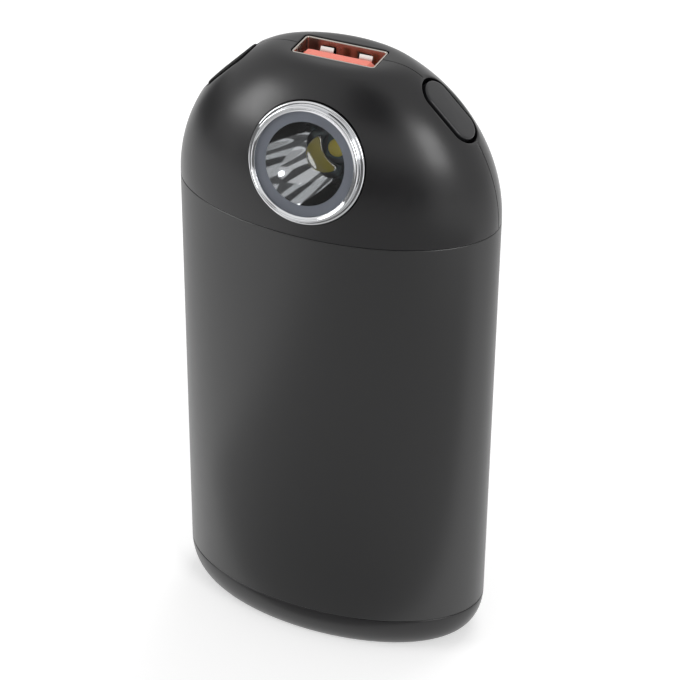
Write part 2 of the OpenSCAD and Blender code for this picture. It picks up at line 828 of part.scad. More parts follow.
// Main board and what is on it

module main_board() {
  color(green) difference() {
    union() {
      intersection() {
        translate([0, board_y, seam_z]) scale([board_a, 1, board_h]) rotate([-90, 0, 0])
          cylinder(r = 1, h = board_t, $fn = round_fn);
        translate([-reach, -reach, board_low]) cube([2 * reach, 2 * reach, reach]);
      }
      translate([-tab_half_w, board_y, tab_low]) cube([2 * tab_half_w, board_t, board_low - tab_low + cut]);
    }
    for (side = [-1, 1])
      rod_y(side * board_screw_x, board_screw_z, board_screw_r + screw_clear, board_y - cut, board_back + cut);
  }
}

// Box seated on the board's front face
module on_front(x, z, w, h, t) {
  translate([x - w / 2, board_y - t, z - h / 2]) cube([w, t, h]);
}

// Box seated on the board's rear face
module on_rear(x, z, w, h, t) {
  translate([x - w / 2, board_back, z - h / 2]) cube([w, t, h]);
}

module inductor() {
  color(foam) on_rear(-chip_x, chip_z, inductor_w, inductor_w, inductor_t);
}

module charger_chip() {
  color(black_plastic) on_front(chip_x, chip_z, chip_w, chip_w, chip_t);
}

module control_chip() {
  color(black_plastic) on_rear(-soic_x, soic_z, soic_w, soic_h, soic_t);
}

module capacitors() {
  color(cream) for (i = [-1, 0, 1]) on_front((i - 1) * cap_w * 1.5, tab_low + cap_w / 2, cap_d, cap_w, cap_d);
}

// Cells and what joins them

module cell(side) {
  color([0.15, 0.35, 0.55]) translate([side * cell_x, 0, cell_z])
    cylinder(d = cell_d, h = cell_l, $fn = round_fn);
}

module cell_left() {
  cell(-1);
}

module cell_right() {
  cell(1);
}

module strip(z) {
  color(silver) block(2 * (cell_x + strip_over), strip_w, z, z + strip_t);
}

module strip_top() {
  strip(cell_top);
}

module strip_bottom() {
  strip(cell_z - strip_t);
}

module insulator(z) {
  block(2 * (cell_x + sheet_over), sheet_w, z, z + insulator_t);
}

module insulator_top() {
  color(cream) difference() {
    insulator(cell_top + strip_t);
    translate([positive_x, 0, cell_top]) cylinder(r = 2 * lead_r, h = strip_t + insulator_t + cut, $fn = small_fn);
  }
}

module insulator_bottom() {
  color(cream) insulator(cell_z - strip_t - insulator_t);
}

module bottom_pad() {
  color(foam) block(2 * (cell_x + sheet_over), sheet_w, cap_t, cap_t + bottom_pad_t);
}

// Half of the cell holder: front when side is -1
module frame_half(side) {
  color(grey_plastic) difference() {
    intersection() {
      oval(frame_a, frame_b, frame_z, frame_top);
      half_space(side);
    }
    for (x = [-cell_x, cell_x]) translate([x, 0, frame_z - cut])
      cylinder(r = cell_d / 2 + cell_fit, h = frame_top - frame_z + 2 * cut, $fn = round_fn);
    translate([-channel_w / 2, side < 0 ? -frame_b - cut : frame_b - channel_d, frame_z - cut])
      cube([channel_w, channel_d + cut, frame_top - frame_z + 2 * cut]);
  }
}

module frame_front() {
  frame_half(-1);
}

module frame_rear() {
  frame_half(1);
}

module heater(side) {
  color(amber) intersection() {
    oval_tube(film_a, film_b, heater_t, film_z, film_top);
    half_space(side, side * heater_edge);
  }
}

module heater_front() {
  heater(-1);
}

module heater_rear() {
  heater(1);
}

module pad(side) {
  color(foam) intersection() {
    oval_tube(pad_a, pad_b, pad_t, film_z, pad_top);
    half_space(side, side * heater_edge);
  }
}

module pad_front() {
  pad(-1);
}

module pad_rear() {
  pad(1);
}

// Leads: each is one tube that follows points [y, z] at a constant x

function unit(v) = v / norm(v);
function heading(p, i) =
  i == 0 ? unit(p[1] - p[0]) :
  i == len(p) - 1 ? unit(p[i] - p[i - 1]) :
  unit(unit(p[i] - p[i - 1]) + unit(p[i + 1] - p[i]));
// A mitred ring is longer across the bend by this factor
function mitre(p, i) = i == 0 ? 1 : 1 / (heading(p, i) * unit(p[i] - p[i - 1]));
function lead_ring(x, p, i, r) =
  let (h = heading(p, i), m = mitre(p, i))
    [for (k = [0:lead_sides - 1]) let (a = 360 * (k + 0.5) / lead_sides)
      [x + r * cos(a), p[i][0] - h[1] * m * r * sin(a), p[i][1] + h[0] * m * r * sin(a)]];

module lead(x, p, r) {
  last = len(p) - 1;
  points = [for (i = [0:last]) each lead_ring(x, p, i, r)];
  sides = [for (i = [0:last - 1]) for (k = [0:lead_sides - 1])
    let (n = (k + 1) % lead_sides, low = i * lead_sides, high = low + lead_sides)
      [low + k, low + n, high + n, high + k]];
  first_end = [for (k = [0:lead_sides - 1]) lead_sides - 1 - k];
  last_end = [for (k = [0:lead_sides - 1]) last * lead_sides + k];
  polyhedron(points = points, faces = concat([first_end, last_end], sides), convexity = 4);
}

// Inner face of a heater film at x, as a distance from the middle plane
function film_face(x) = (film_b - heater_t) * sqrt(1 - pow(x / (film_a - heater_t), 2));

module thermistor() {
  color(black_plastic) translate([0, -frame_b + thermistor_r, frame_z + cell_l / 2])
    cylinder(r = thermistor_r, h = thermistor_l, $fn = small_fn);
}

module thermistor_leads() {
  y = -frame_b + thermistor_r;
  color("white") for (side = [-1, 1]) lead(side * thermistor_r / 2, [
    [y, frame_z + cell_l / 2 + thermistor_l],
    [y, seam_z - thermistor_l],
    [y + 2 * skirt_t, seam_z - thermistor_r],
    [board_y, seam_z - thermistor_r]], thin_lead_r);
}

module heater_leads() {
  inner_y = frame_b - 3 * heater_lead_r;
  color("red") for (side = [-1, 1], front = [-1, 1]) lead(side * heater_lead_x, [
    [front * film_face(heater_lead_x + heater_lead_r), heater_lead_rise],
    [front * inner_y, heater_lead_rise],
    [front * inner_y, seam_z - 3 * heater_lead_r],
    [front < 0 ? board_y : board_back, seam_z - 3 * heater_lead_r]], heater_lead_r);
}

// Point on the torch's axis at a depth behind the bezel's front, as [y, z]
function torch_point(depth) =
  [-torch_y + depth * cos(torch_tilt), torch_z - depth * sin(torch_tilt)];

module torch_leads() {
  color("white") for (side = [-1, 1]) lead(side * led_board_r / 3, [
    torch_point(led_board_back),
    torch_point(cup_back + cup_t),
    [board_y - 3 * thin_lead_r, torch_point(cup_back + cup_t)[1] - cup_t],
    [board_y, torch_point(cup_back + cup_t)[1] - cup_t]], thin_lead_r);
}

module lead_positive() {
  start_y = board_y - 5 * lead_r;
  color("red") lead(positive_x, [
    [0, cell_top + strip_t],
    [0, tab_low + lead_r],
    [start_y + 3 * lead_r, tab_low + 4 * lead_r],
    [board_y, tab_low + 4 * lead_r]], lead_r);
}

module lead_negative() {
  y = frame_b - channel_d / 2;
  color([0.1, 0.1, 0.1]) lead(0, [
    [strip_w / 2, cell_z - strip_t + lead_r],
    [y, cell_z + 2 * lead_r],
    [y, seam_z - 5 * lead_r],
    [board_back + 3 * lead_r, seam_z - 3 * lead_r],
    [board_back, seam_z - 3 * lead_r]], lead_r);
}

// Screws

module head_screws() {
  color(silver) for (side = [-1, 1]) {
    rod_y(side * head_screw_x, head_screw_z, head_screw_r, head_seat_y - head_screw_l, head_seat_y + cut);
    rod_y(side * head_screw_x, head_screw_z, screw_head_r, head_seat_y, head_seat_y + screw_head_t);
  }
}

module board_screws() {
  color(silver) for (side = [-1, 1]) {
    rod_y(side * board_screw_x, board_screw_z, board_screw_r, board_y - cut, board_y + board_screw_l - fit_gap);
    rod_y(side * board_screw_x, board_screw_z, screw_head_r, board_y - screw_head_t, board_y);
  }
}

body_sleeve();
dome_front();
dome_rear();
bottom_cap();
torch_bezel();
torch_lens();
torch_reflector();
torch_cup();
led_board();
led_package();
led_phosphor();
led_dome();
usb_a_shell();
usb_a_tongue();
usb_a_contacts();
input_shell();
input_tongue();
input_contacts();
input_board();
input_cover();
button_cap();
switch_plunger();
switch_body();
main_board();
inductor();
charger_chip();
control_chip();
capacitors();
cell_left();
cell_right();
strip_top();
strip_bottom();
insulator_top();
insulator_bottom();
bottom_pad();
frame_front();
frame_rear();
heater_front();
heater_rear();
pad_front();
pad_rear();
thermistor();
thermistor_leads();
heater_leads();
torch_leads();
lead_positive();
lead_negative();
head_screws();
board_screws();
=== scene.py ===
"""Rechargeable hand warmer with a torch: smooth skins, finishes and a small studio round its packed CAD frame.

Lengths are metres. X runs along the body's wide side, -Y is its front and Z is up, as in the CAD frame.
"""

import json
import math
from collections import namedtuple

import bmesh
import bpy
import numpy as np
from bpy.props import FloatProperty, FloatVectorProperty, PointerProperty
from bpy.types import Operator, Panel, PropertyGroup
from mathutils import Matrix, Vector


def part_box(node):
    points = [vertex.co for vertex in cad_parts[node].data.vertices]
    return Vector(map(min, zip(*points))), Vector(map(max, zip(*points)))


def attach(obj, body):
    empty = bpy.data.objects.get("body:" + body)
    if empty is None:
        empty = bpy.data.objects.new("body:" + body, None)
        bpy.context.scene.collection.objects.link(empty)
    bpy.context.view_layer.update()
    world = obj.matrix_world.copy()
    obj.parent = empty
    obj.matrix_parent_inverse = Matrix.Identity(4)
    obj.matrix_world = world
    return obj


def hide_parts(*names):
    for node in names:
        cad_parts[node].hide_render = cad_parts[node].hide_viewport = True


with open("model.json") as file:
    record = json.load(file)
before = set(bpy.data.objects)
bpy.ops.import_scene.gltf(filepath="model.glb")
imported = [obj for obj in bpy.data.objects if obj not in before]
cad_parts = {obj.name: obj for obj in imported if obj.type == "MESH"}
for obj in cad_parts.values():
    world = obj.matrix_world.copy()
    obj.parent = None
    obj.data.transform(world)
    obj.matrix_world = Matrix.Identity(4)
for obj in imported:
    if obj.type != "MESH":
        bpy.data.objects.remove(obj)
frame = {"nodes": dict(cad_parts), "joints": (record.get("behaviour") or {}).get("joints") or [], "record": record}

bl_info = {
    "name": "Rechargeable hand warmer",
    "version": (1, 0, 0),
    "blender": (4, 5, 0),
    "location": "3D View > Sidebar > Hand warmer",
    "description": "Builds the skins, finishes and studio of a rechargeable hand warmer with a torch",
    "category": "Add Mesh",
}

MM = 0.001
QUARTER = math.pi / 2
SENSOR = 36.0  # Width of the camera's sensor, in millimetres

# Boxes of the CAD frame that the sizes start from
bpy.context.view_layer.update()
SLEEVE_LOW, SLEEVE_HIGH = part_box("body_sleeve")
SOCKET_LOW, SOCKET_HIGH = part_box("usb_a_shell")
HEAD_HIGH, BEZEL_HIGH, LENS_HIGH, TONGUE_HIGH = (
    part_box(node)[1] for node in ("dome_front", "torch_bezel", "torch_lens", "usb_a_tongue")
)
PRESS = frame["joints"][0]["axis"]


# Sizes and colours


def length(name, description, default):
    """A length that the panel shows in the scene's units."""
    return FloatProperty(name=name, description=description, default=default, unit="LENGTH", precision=5)


def turn(name, description, degrees):
    """An angle that the panel shows in degrees."""
    return FloatProperty(name=name, description=description, default=math.radians(degrees), subtype="ANGLE")


def number(name, description, default):
    """A plain factor."""
    return FloatProperty(name=name, description=description, default=default, precision=3)


def linear(code):
    """Linear RGB of an sRGB hex colour: c / 12.92 below 0.04045, else ((c + 0.055) / 1.055) ** 2.4."""
    parts = np.array([int(code[i : i + 2], 16) for i in (1, 3, 5)]) / 255
    return tuple(np.where(parts <= 0.04045, parts / 12.92, ((parts + 0.055) / 1.055) ** 2.4))


def colour(name, description, code):
    """A colour that the panel shows as a swatch."""
    return FloatVectorProperty(name=name, description=description, default=linear(code), subtype="COLOR", min=0, max=1)


class WarmerBody(PropertyGroup):
    """Sizes of the sleeve, the head and the end cap."""

    half_width: length("Half width", "Half of the oval's long side", SLEEVE_HIGH.x)
    half_depth: length("Half depth", "Half of the oval's short side", SLEEVE_HIGH.y)
    seam: length("Seam height", "Height at which the head meets the sleeve", SLEEVE_HIGH.z)
    cap: length("Cap height", "Height at which the end cap meets the sleeve", SLEEVE_LOW.z)
    cap_in_wide: length("Cap inset, wide side", "How far the cap's rounding goes in along the wide side", 4.7 * MM)
    cap_in_deep: length("Cap inset, narrow side", "How far the cap's rounding goes in along the narrow side", 3.6 * MM)
    cap_wall: length("Cap wall", "Thickness of the end cap's floor", 2 * MM)
    sleeve_wall: length("Sleeve wall", "Thickness of the aluminium", 1.2 * MM)
    slip: length("Slip wall", "Thickness of the lip and the skirt inside the sleeve", 1.3 * MM)
    fit: length("Sleeve fit", "Gap between the sleeve and the lip or skirt inside it", 0.1 * MM)
    skirt: length("Skirt height", "How far the head and the cap reach into the sleeve", 5 * MM)
    edge: length("Edge rounding", "Rounding of the sleeve's, head's and cap's edges at the seams", 0.2 * MM)
    land: length("Land height", "Height of the flat round the output socket", HEAD_HIGH.z)
    land_drop: length("Land drop", "How far the flat lies below the arch that it cuts", 2.1 * MM)
    head_wall: length("Head wall", "Thickness of the moulded head", 2 * MM)
    facet: length("Shoulder depth", "How far the shoulder faces lie below the arch", 0.8 * MM)
    softness: length("Cut softness", "Rounding where a shoulder face meets the arch", 0.07 * MM)
    land_softness: length("Land softness", "Rounding where the land meets the arch", 0.9 * MM)
    parting: length("Parting line", "Half width of the line between the head's two mouldings", 0.09 * MM)
    parting_depth: length("Parting depth", "Depth of that line", 0.16 * MM)


class WarmerTorch(PropertyGroup):
    """Sizes of the torch, with depths counted from its front plane."""

    rise: length("Rise", "Height of the torch's middle above the seam", 11.64 * MM)
    setback: length("Setback", "How far its front plane lies behind the body's widest line", 1.0 * MM)
    tilt: turn("Tilt", "How far the torch looks up", 15.5)
    gap: length("Gap", "Gap between the bezel and the head", 0.1 * MM)
    radius: length("Bezel radius", "Outer radius of the chromed ring", BEZEL_HIGH.x)
    rounding: length("Bezel rounding", "Rounding of the ring's outer edges", 0.25 * MM)
    softness: length("Bezel softness", "Rounding of the ring's inner corners", 0.05 * MM)
    step: length("Bezel step", "Depth of the flange's face behind the crest", 1.05 * MM)
    flange: length("Bezel flange", "Depth of the flange's back", 2.25 * MM)
    collar: length("Collar radius", "Radius of the ring's part inside the head", 8.6 * MM)
    depth: length("Bezel depth", "Depth of the whole ring", 5.4 * MM)
    mouth: length("Mouth radius", "Inner radius of the ring's front", 7.8 * MM)
    seat: length("Seat radius", "Inner radius of the ring behind its front", 8.0 * MM)
    lens_radius: length("Lens radius", "Radius of the lens", LENS_HIGH.x)
    lens_front: length("Lens depth", "Depth of the lens's front", 0.45 * MM)
    lens_back: length("Lens back", "Depth of the lens's back", 0.85 * MM)
    lens_chamfer: length("Lens chamfer", "Chamfer of the lens's edges", 0.1 * MM)
    bowl_front: length("Bowl depth", "Depth of the bowl's flat rim", 0.95 * MM)
    bowl_back: length("Bowl bottom", "Depth of the bowl's bottom", 13.2 * MM)
    bowl_mouth: length("Bowl mouth radius", "Radius of the bowl at its rim", 6.2 * MM)
    bowl_base: length("Bowl base radius", "Radius of the hole in the bowl's bottom", 2.4 * MM)
    bowl_wall: length("Bowl wall", "Thickness of the bowl", 0.5 * MM)
    dome_radius: length("Lens dome radius", "Radius of the silicone dome on the diode", 1.4 * MM)
    dome_base: length("Lens dome depth", "Depth of the dome's base", 13.2 * MM)


class WarmerSockets(PropertyGroup):
    """Sizes of the output socket in the top and the charging socket in the left shoulder."""

    half_width: length("Half width", "Half of the socket's width", SOCKET_HIGH.x)
    half_depth: length("Half depth", "Half of the socket's depth", SOCKET_HIGH.y)
    rim: length("Rim height", "Height of the shell's rim", SOCKET_HIGH.z)
    base: length("Base height", "Height of the shell's closed end", SOCKET_LOW.z)
    corner: length("Corner radius", "Outer corner radius of the shell", 0.62 * MM)
    sheet: length("Sheet", "Thickness of the shell's sheet metal", 0.3 * MM)
    gap: length("Gap", "Gap between the shell and the head", 0.15 * MM)
    lip: length("Lip rounding", "Rounding of the head's edge at the socket", 0.1 * MM)
    spring_x: length("Spring place", "From the middle to each leaf spring's middle", 3.1 * MM)
    spring_width: length("Spring width", "Width of a leaf spring", 2.1 * MM)
    spring_drop: length("Spring drop", "From the rim down to the window", 0.9 * MM)
    spring_length: length("Spring length", "Length of the window", 4.19 * MM)
    spring_bow: length("Spring bow", "How far a leaf spring stands into the socket", 0.62 * MM)
    tongue_half: length("Tongue half width", "Half width of the tongue", 5.6 * MM)
    tongue_front: length("Tongue front", "Y of the tongue's front face", -1.89 * MM)
    tongue_back: length("Tongue back", "Y of the tongue's back face", -0.05 * MM)
    tongue_top: length("Tongue top", "Height of the tongue's end", TONGUE_HIGH.z)
    tongue_chamfer: length("Tongue chamfer", "Chamfer of the tongue's corners", 0.6 * MM)
    tongue_edge: length("Tongue edge", "Rounding of the tongue's edges", 0.12 * MM)
    tongue_foot: length("Tongue foot", "Height of the block that carries the tongue", 1.496 * MM)
    pocket: length("Pocket depth", "How far the charging socket's recess goes below its shoulder face", 1.0 * MM)
    input_half_long: length("Charging half width", "Half of the charging socket's width", 4.47 * MM)
    input_half_wide: length("Charging half height", "Half of the charging socket's height", 1.63 * MM)
    input_gap: length("Charging gap", "Gap between the charging socket and the head", 0.1 * MM)
    input_front: length("Charging front", "Depth of its front below the arch", 1.95 * MM)
    input_back: length("Charging back", "Depth of its back below the arch", 9.273 * MM)
    input_sheet: length("Charging sheet", "Thickness of its shell", 0.25 * MM)
    plug: length("Plug length", "How far the cover's plug reaches into the charging socket", 1.8 * MM)
    plug_fit: length("Plug fit", "Clearance of the plug in the socket", 0.1 * MM)
    plug_half_long: length("Plug hollow half width", "Half width of the plug's hollow", 3.55 * MM)
    plug_half_wide: length("Plug hollow half height", "Half height of the plug's hollow", 0.613 * MM)


class WarmerButton(PropertyGroup):
    """Sizes of the button, with depths counted from the arch above its shoulder face."""

    half_long: length("Half length", "Half of the button's length", 5.2 * MM)
    half_wide: length("Half width", "Half of the button's width", 2.5 * MM)
    gap: length("Gap", "Gap between the button and the head", 0.55 * MM)
    lip: length("Lip rounding", "Rounding of the opening's edge", 0.16 * MM)
    face: length("Face depth", "Depth of the button's highest point", 0.45 * MM)
    crown: length("Crown", "How far the face falls from its middle to its edge", 0.08 * MM)
    rounding: length("Edge rounding", "Rounding of the button's edge", 0.35 * MM)
    flange_reach: length("Flange reach", "How far the flange stands out under the wall", 0.75 * MM)
    flange_top: length("Flange depth", "Depth of the flange's top", 3.5 * MM)
    flange_back: length("Flange back", "Depth of the flange's back", 4.3 * MM)
    stem_radius: length("Stem radius", "Radius of the stem", 1.16 * MM)
    stem_back: length("Stem depth", "Depth of the stem's end", 5.1 * MM)


class WarmerFinishes(PropertyGroup):
    """Colours of the main finishes."""

    sleeve: colour("Sleeve", "Dyed anodised aluminium", "#101011")
    head: colour("Head", "Moulded head and end cap", "#0E0D0F")
    button: colour("Button", "Moulded button", "#1C1C1E")
    # Grey of the bowl's flat mirror rim: painted reflection of a dark grey surround
    rim_painted_reflection: colour("Bowl rim", "Flat rim of the torch's bowl", "#8E939E")
    tongue: colour("Output tongue", "Tongue of the output socket", "#FF8A78")


class WarmerStudio(PropertyGroup):
    """Camera, daylight and floor."""

    azimuth: turn("Azimuth", "Turn of the camera round the object, from its front", 23.468)
    elevation: turn("Elevation", "Height of the camera above the horizon", 33.671)
    roll: turn("Roll", "Turn of the picture", 0.473)
    distance: length("Distance", "From the camera to the point that it looks at", 415.859 * MM)
    aim_across: length("Aim across", "Place of that point across the picture", 0.352 * MM)
    aim_up: length("Aim up", "Place of that point up the picture", 41.749 * MM)
    lens: number("Lens", "Focal length in millimetres on a 36 mm sensor", 131.09)
    daylight: number("Daylight", "Strength of the room on rough surfaces", 0.45)
    floor_shade: number("Floor shade", "Share of the light that the floor throws back", 0.8)
    floor_glow: number("Floor glow", "Light that the floor adds to that for the camera and mirrors", 0.45)


# Geometry

Seat = namedtuple("Seat", "origin right up out")


def on_seat(seat, across, along, height):
    """Points across, along and above a seat: origin + across * right + along * up + height * out."""
    across, along, height = np.broadcast_arrays(across, along, height)
    return (
        seat.origin
        + across[..., None] * seat.right
        + along[..., None] * seat.up
        + height[..., None] * seat.out
    )


UPRIGHT = Seat(np.zeros(3), np.array([1.0, 0, 0]), np.array([0, 1.0, 0]), np.array([0, 0, 1.0]))


def torch_seat(body, torch):
    """The torch's front plane, tilted back round the X axis, with the axis pointing out of the head."""
    lean, rise = math.sin(torch.tilt), math.cos(torch.tilt)
    middle = np.array([0, -(body.half_depth - torch.setback), body.seam + torch.rise])
    return Seat(middle, np.array([1.0, 0, 0]), np.array([0, lean, rise]), np.array([0, -rise, lean]))


def circle_turns(steps):
    """Angles of a full circle in equal steps."""
    return np.linspace(0, 2 * math.pi, steps, endpoint=False)


def arc(middle, radius, start, end, steps):
    """Points of an arc: middle + radius (cos a, sin a), with a from start to end in degrees."""
    turns = np.radians(np.linspace(start, end, steps + 1))
    return np.column_stack([middle[0] + radius * np.cos(turns), middle[1] + radius * np.sin(turns)])


def outline_reach(turns, half_long, half_wide, corner):
    """Distance from the middle of a rounded rectangle to its edge along each angle.

    The ray meets a flat side at half / cos or half / sin, or else the arc round a corner's middle m,
    at m.d + sqrt((m.d)^2 - m.m + corner^2). A circle and a pill are such rectangles too.
    """
    cos, sin = np.abs(np.cos(turns)), np.abs(np.sin(turns))
    end, side = half_long / np.maximum(cos, 1e-9), half_wide / np.maximum(sin, 1e-9)
    middle = np.array([half_long - corner, half_wide - corner])
    onward = middle[0] * cos + middle[1] * sin
    bend = onward + np.sqrt(np.maximum(onward**2 - middle @ middle + corner**2, 0))
    return np.where(end * sin <= middle[1], end, np.where(side * cos <= middle[0], side, bend))


def outline(seat, turns, half_long, half_wide, corner, height):
    """Points of a rounded rectangle on a seat at a height."""
    reach = outline_reach(turns, half_long, half_wide, corner)
    return on_seat(seat, reach * np.cos(turns), reach * np.sin(turns), height)


def stadium(half_long, half_wide):
    """Form of a rounded rectangle whose corners take up its whole width."""
    return np.array([half_long, half_wide, half_wide])


def pile(seat, turns, forms):
    """Rounded rectangles piled up on a seat, from rows of (half length, half width, corner, height)."""
    return np.stack([outline(seat, turns, *form) for form in forms])


def grid_quads(rows, columns, ring=False):
    """Corners of a grid's quads: (i, j) joins points j and j + 1 of rows i and i + 1, round the ring if it is one."""
    index = np.arange(rows * columns).reshape(rows, columns)
    if ring:
        index = np.hstack([index, index[:, :1]])
    return np.stack([index[:-1, :-1], index[:-1, 1:], index[1:, 1:], index[1:, :-1]], axis=-1)


class Skin:
    """Grids of points and their quads, gathered into one mesh and welded where they meet."""

    def __init__(self):
        self.points, self.quads, self.count = [], [], 0

    def add(self, grid, ring=True, keep=None):
        """Adds rows of points with the quads between them, or with only the quads to keep."""
        rows, columns = grid.shape[:2]
        quads = self.count + grid_quads(rows, columns, ring)
        self.quads.append(quads.reshape(-1, 4) if keep is None else quads[keep])
        self.points.append(grid.reshape(-1, 3))
        self.count += rows * columns
        return self

    def piece(self, name, slot, material=None, body="housing", stands_for=(), crease=35.0):
        """Welds the grids, turns every face outwards and makes the object, with the slot's table finish or its own."""
        mesh = bpy.data.meshes.new(name)
        mesh.from_pydata(np.vstack(self.points), [], np.vstack(self.quads))
        work = bmesh.new()
        work.from_mesh(mesh)
        bmesh.ops.remove_doubles(work, verts=work.verts, dist=2e-7)
        bmesh.ops.recalc_face_normals(work, faces=work.faces)
        if work.calc_volume(signed=True) < 0:
            bmesh.ops.reverse_faces(work, faces=work.faces)
        work.to_mesh(mesh)
        work.free()
        if not mesh.polygons:
            raise ValueError(f"{name} has no faces")
        mesh.polygons.foreach_set("use_smooth", np.ones(len(mesh.polygons), bool))
        mesh.set_sharp_from_angle(angle=math.radians(crease))
        obj = bpy.data.objects.new(name, mesh)
        bpy.context.scene.collection.objects.link(obj)
        mesh.materials.append(material or table_finish(slot))
        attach(obj, body)
        if stands_for:
            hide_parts(*stands_for)
        return obj


def lathe(seat, profile, steps=192):
    """A profile of (radius, height) turned round the seat's axis: (r cos a, r sin a, h)."""
    turns = circle_turns(steps)
    radius, height = profile[:, :1], profile[:, 1:]
    return on_seat(seat, radius * np.cos(turns), radius * np.sin(turns), height)


def oval_rows(rows, turns):
    """Ovals stacked by rows of (half width, half depth, height): (w cos t, d sin t, h)."""
    wide, deep, height = (np.asarray(rows)[:, i : i + 1] for i in range(3))
    return np.stack(np.broadcast_arrays(wide * np.cos(turns), deep * np.sin(turns), height), axis=-1)


def edge_rows(body, height, side, steps=5):
    """Rows of a seam edge's quarter round, from the outer face to the flat: inset e (1 - cos), height e (1 - sin)."""
    turns = np.linspace(0, QUARTER, steps + 1)
    inset = body.edge * (1 - np.cos(turns))
    level = height + side * body.edge * (1 - np.sin(turns))
    return np.column_stack([body.half_width - inset, body.half_depth - inset, level])


# The moulded head


class HeadForm:
    """The head's skin: an ellipsoid cut by the land and two shoulder faces, with the parting line sunk into it.

    A place on it is a point of the unit disk: its direction is that of (x / a, y / b), and its distance
    from the middle is the angle down from the top as a share of a right angle.
    """

    def __init__(self, body):
        self.middle = np.array([0, 0, body.seam])
        self.half = np.array([body.half_width, body.half_depth, body.land + body.land_drop - body.seam])
        self.inner = self.half - body.head_wall
        self.parting, self.parting_depth = body.parting, body.parting_depth
        self.land_angle = math.acos((body.land - body.seam) / self.half[2])
        self.shoulders = {side: self.shoulder(side) for side in (1, -1)}
        self.planes = [(UPRIGHT.out, body.land, body.land_softness)]
        self.planes += [(s.out, s.origin @ s.out - body.facet, body.softness) for s in self.shoulders.values()]

    def shoulder(self, side):
        """The arch's point whose normal is the button's axis, on the right, or its mirror image on the left."""
        out = -np.array([side * PRESS[0], 0, PRESS[2]])
        out /= np.linalg.norm(out)
        origin = self.middle + self.half**2 * out / np.linalg.norm(self.half * out)
        return Seat(origin, np.array([out[2], 0, -out[0]]), np.array([0, 1.0, 0]), out)

    def on_arch(self, share, half):
        """Points of an ellipsoid: (a s cos t, b s sin t, h c), with s and c the sine and cosine of the angle."""
        reach = np.maximum(np.hypot(share[..., 0], share[..., 1]), 1e-9)
        spread = np.sin(reach * QUARTER) / reach
        level = np.cos(reach * QUARTER)
        return self.middle + half * np.stack([share[..., 0] * spread, share[..., 1] * spread, level], axis=-1)

    def share_of(self, points):
        """The place on the disk of points of the outer ellipsoid."""
        x, y, z = np.moveaxis((points - self.middle) / self.half, -1, 0)
        across = np.maximum(np.hypot(x, y), 1e-9)
        reach = np.arctan2(across, z) / QUARTER / across
        return np.stack([x * reach, y * reach], axis=-1)

    def drop(self, points, out, half):
        """Moves points along out to an ellipsoid: the larger root s of |(p + s out) / half| = 1."""
        place, way = (points - self.middle) / half, out / half
        square, cross = way @ way, place @ way
        rest = np.sum(place**2, axis=-1) - 1
        return points + ((-cross + np.sqrt(cross**2 - square * rest)) / square)[..., None] * out

    def skin(self, share):
        """The outer skin: the arch, lowered to each plane with a soft edge, then sunk at the parting line."""
        points = self.on_arch(share, self.half)
        normal = (points - self.middle) / self.half**2
        normal /= np.linalg.norm(normal, axis=-1, keepdims=True)
        for out, level, k in self.planes:
            rise = points @ out - level
            lower = np.where(rise > k, rise, np.where(rise < -k, 0, (rise + k) ** 2 / (4 * k)))
            points = points - lower[..., None] * out
        sink = np.clip(1 - np.abs(points[..., 1]) / self.parting, 0, 1) * self.parting_depth
        return points - sink[..., None] * normal

    def opening(self, seat, turns, form, lip, beyond):
        """Points of the skin on a rounded rectangle's edge moved outwards, lowered by the lip's quarter round."""
        half_long, half_wide, corner = form
        edge = outline(seat, turns, half_long + beyond, half_wide + beyond, corner + beyond, 0)
        share = self.share_of(self.drop(edge, seat.out, self.half))
        fall = lip - math.sqrt(max(lip**2 - (lip - beyond) ** 2, 0))
        return share, self.skin(share) - fall * seat.out

    def lip_rows(self, seat, turns, form, lip, steps=5):
        """Rows of an opening's rounded edge, from its wall to the skin, and the last row's place on the disk."""
        rows = [self.opening(seat, turns, form, lip, lip * (1 - math.cos(a))) for a in np.linspace(0, QUARTER, steps)]
        return [points for _, points in rows], rows[-1][0]


def head_columns(form):
    """Turns of the grid's columns at each row angle: even steps, with narrow columns that follow the parting line.

    A narrow column at a distance d from the middle plane turns off it by asin(d / (b sin a)) at a row angle a.
    """
    near = np.array([0, 0.5, 1, 1.7]) * form.parting
    margin = 2.6
    even = np.radians(np.linspace(margin, 180 - margin, 88))
    offset = np.concatenate([near, even * 0, near[:0:-1]])
    base = np.concatenate([near * 0, even, near[1:] * 0 + math.pi])
    plain = np.isin(base, even)

    # The front half is the rear half turned round
    offset, base, plain = np.concatenate([offset, -offset]), np.concatenate([base, base + math.pi]), np.tile(plain, 2)

    def at(angle):
        slant = np.arcsin(offset / (form.half[1] * np.sin(angle)))
        return np.where(plain, base, base + np.cos(base) * slant)

    return at, np.where(plain, np.degrees(base), np.nan)


def disk(reach, turns):
    """Places on the disk at a reach and turns."""
    return np.stack([reach * np.cos(turns), reach * np.sin(turns)], axis=-1)


def nearest(values, wanted):
    """Index of the value nearest to the wanted one."""
    return int(np.nanargmin(np.abs(values - wanted)))


def steps_out(count, growth=1.16):
    """Shares of the way from 0 to 1 in steps that grow, without the first."""
    steps = np.cumsum(growth ** np.arange(count))
    return steps / steps[-1]


Hole = namedtuple("Hole", "seat form lip left right high low pocket")


def head_holes(form, body, torch, button):
    """The openings on the head's side, with the turns and row angles, in degrees, of the quads that they take out."""
    torch_form = stadium(torch.radius, torch.radius) + torch.gap
    pill_form = stadium(button.half_long, button.half_wide) + button.gap
    return [
        Hole(torch_seat(body, torch), torch_form, torch.gap, 238, 302, 31, 87.4, pocket=False),
        Hole(form.shoulders[1], pill_form, button.lip, 332, 28, 26.5, 62, pocket=False),
        Hole(form.shoulders[-1], pill_form, button.lip, 152, 208, 26.5, 62, pocket=True),
    ]


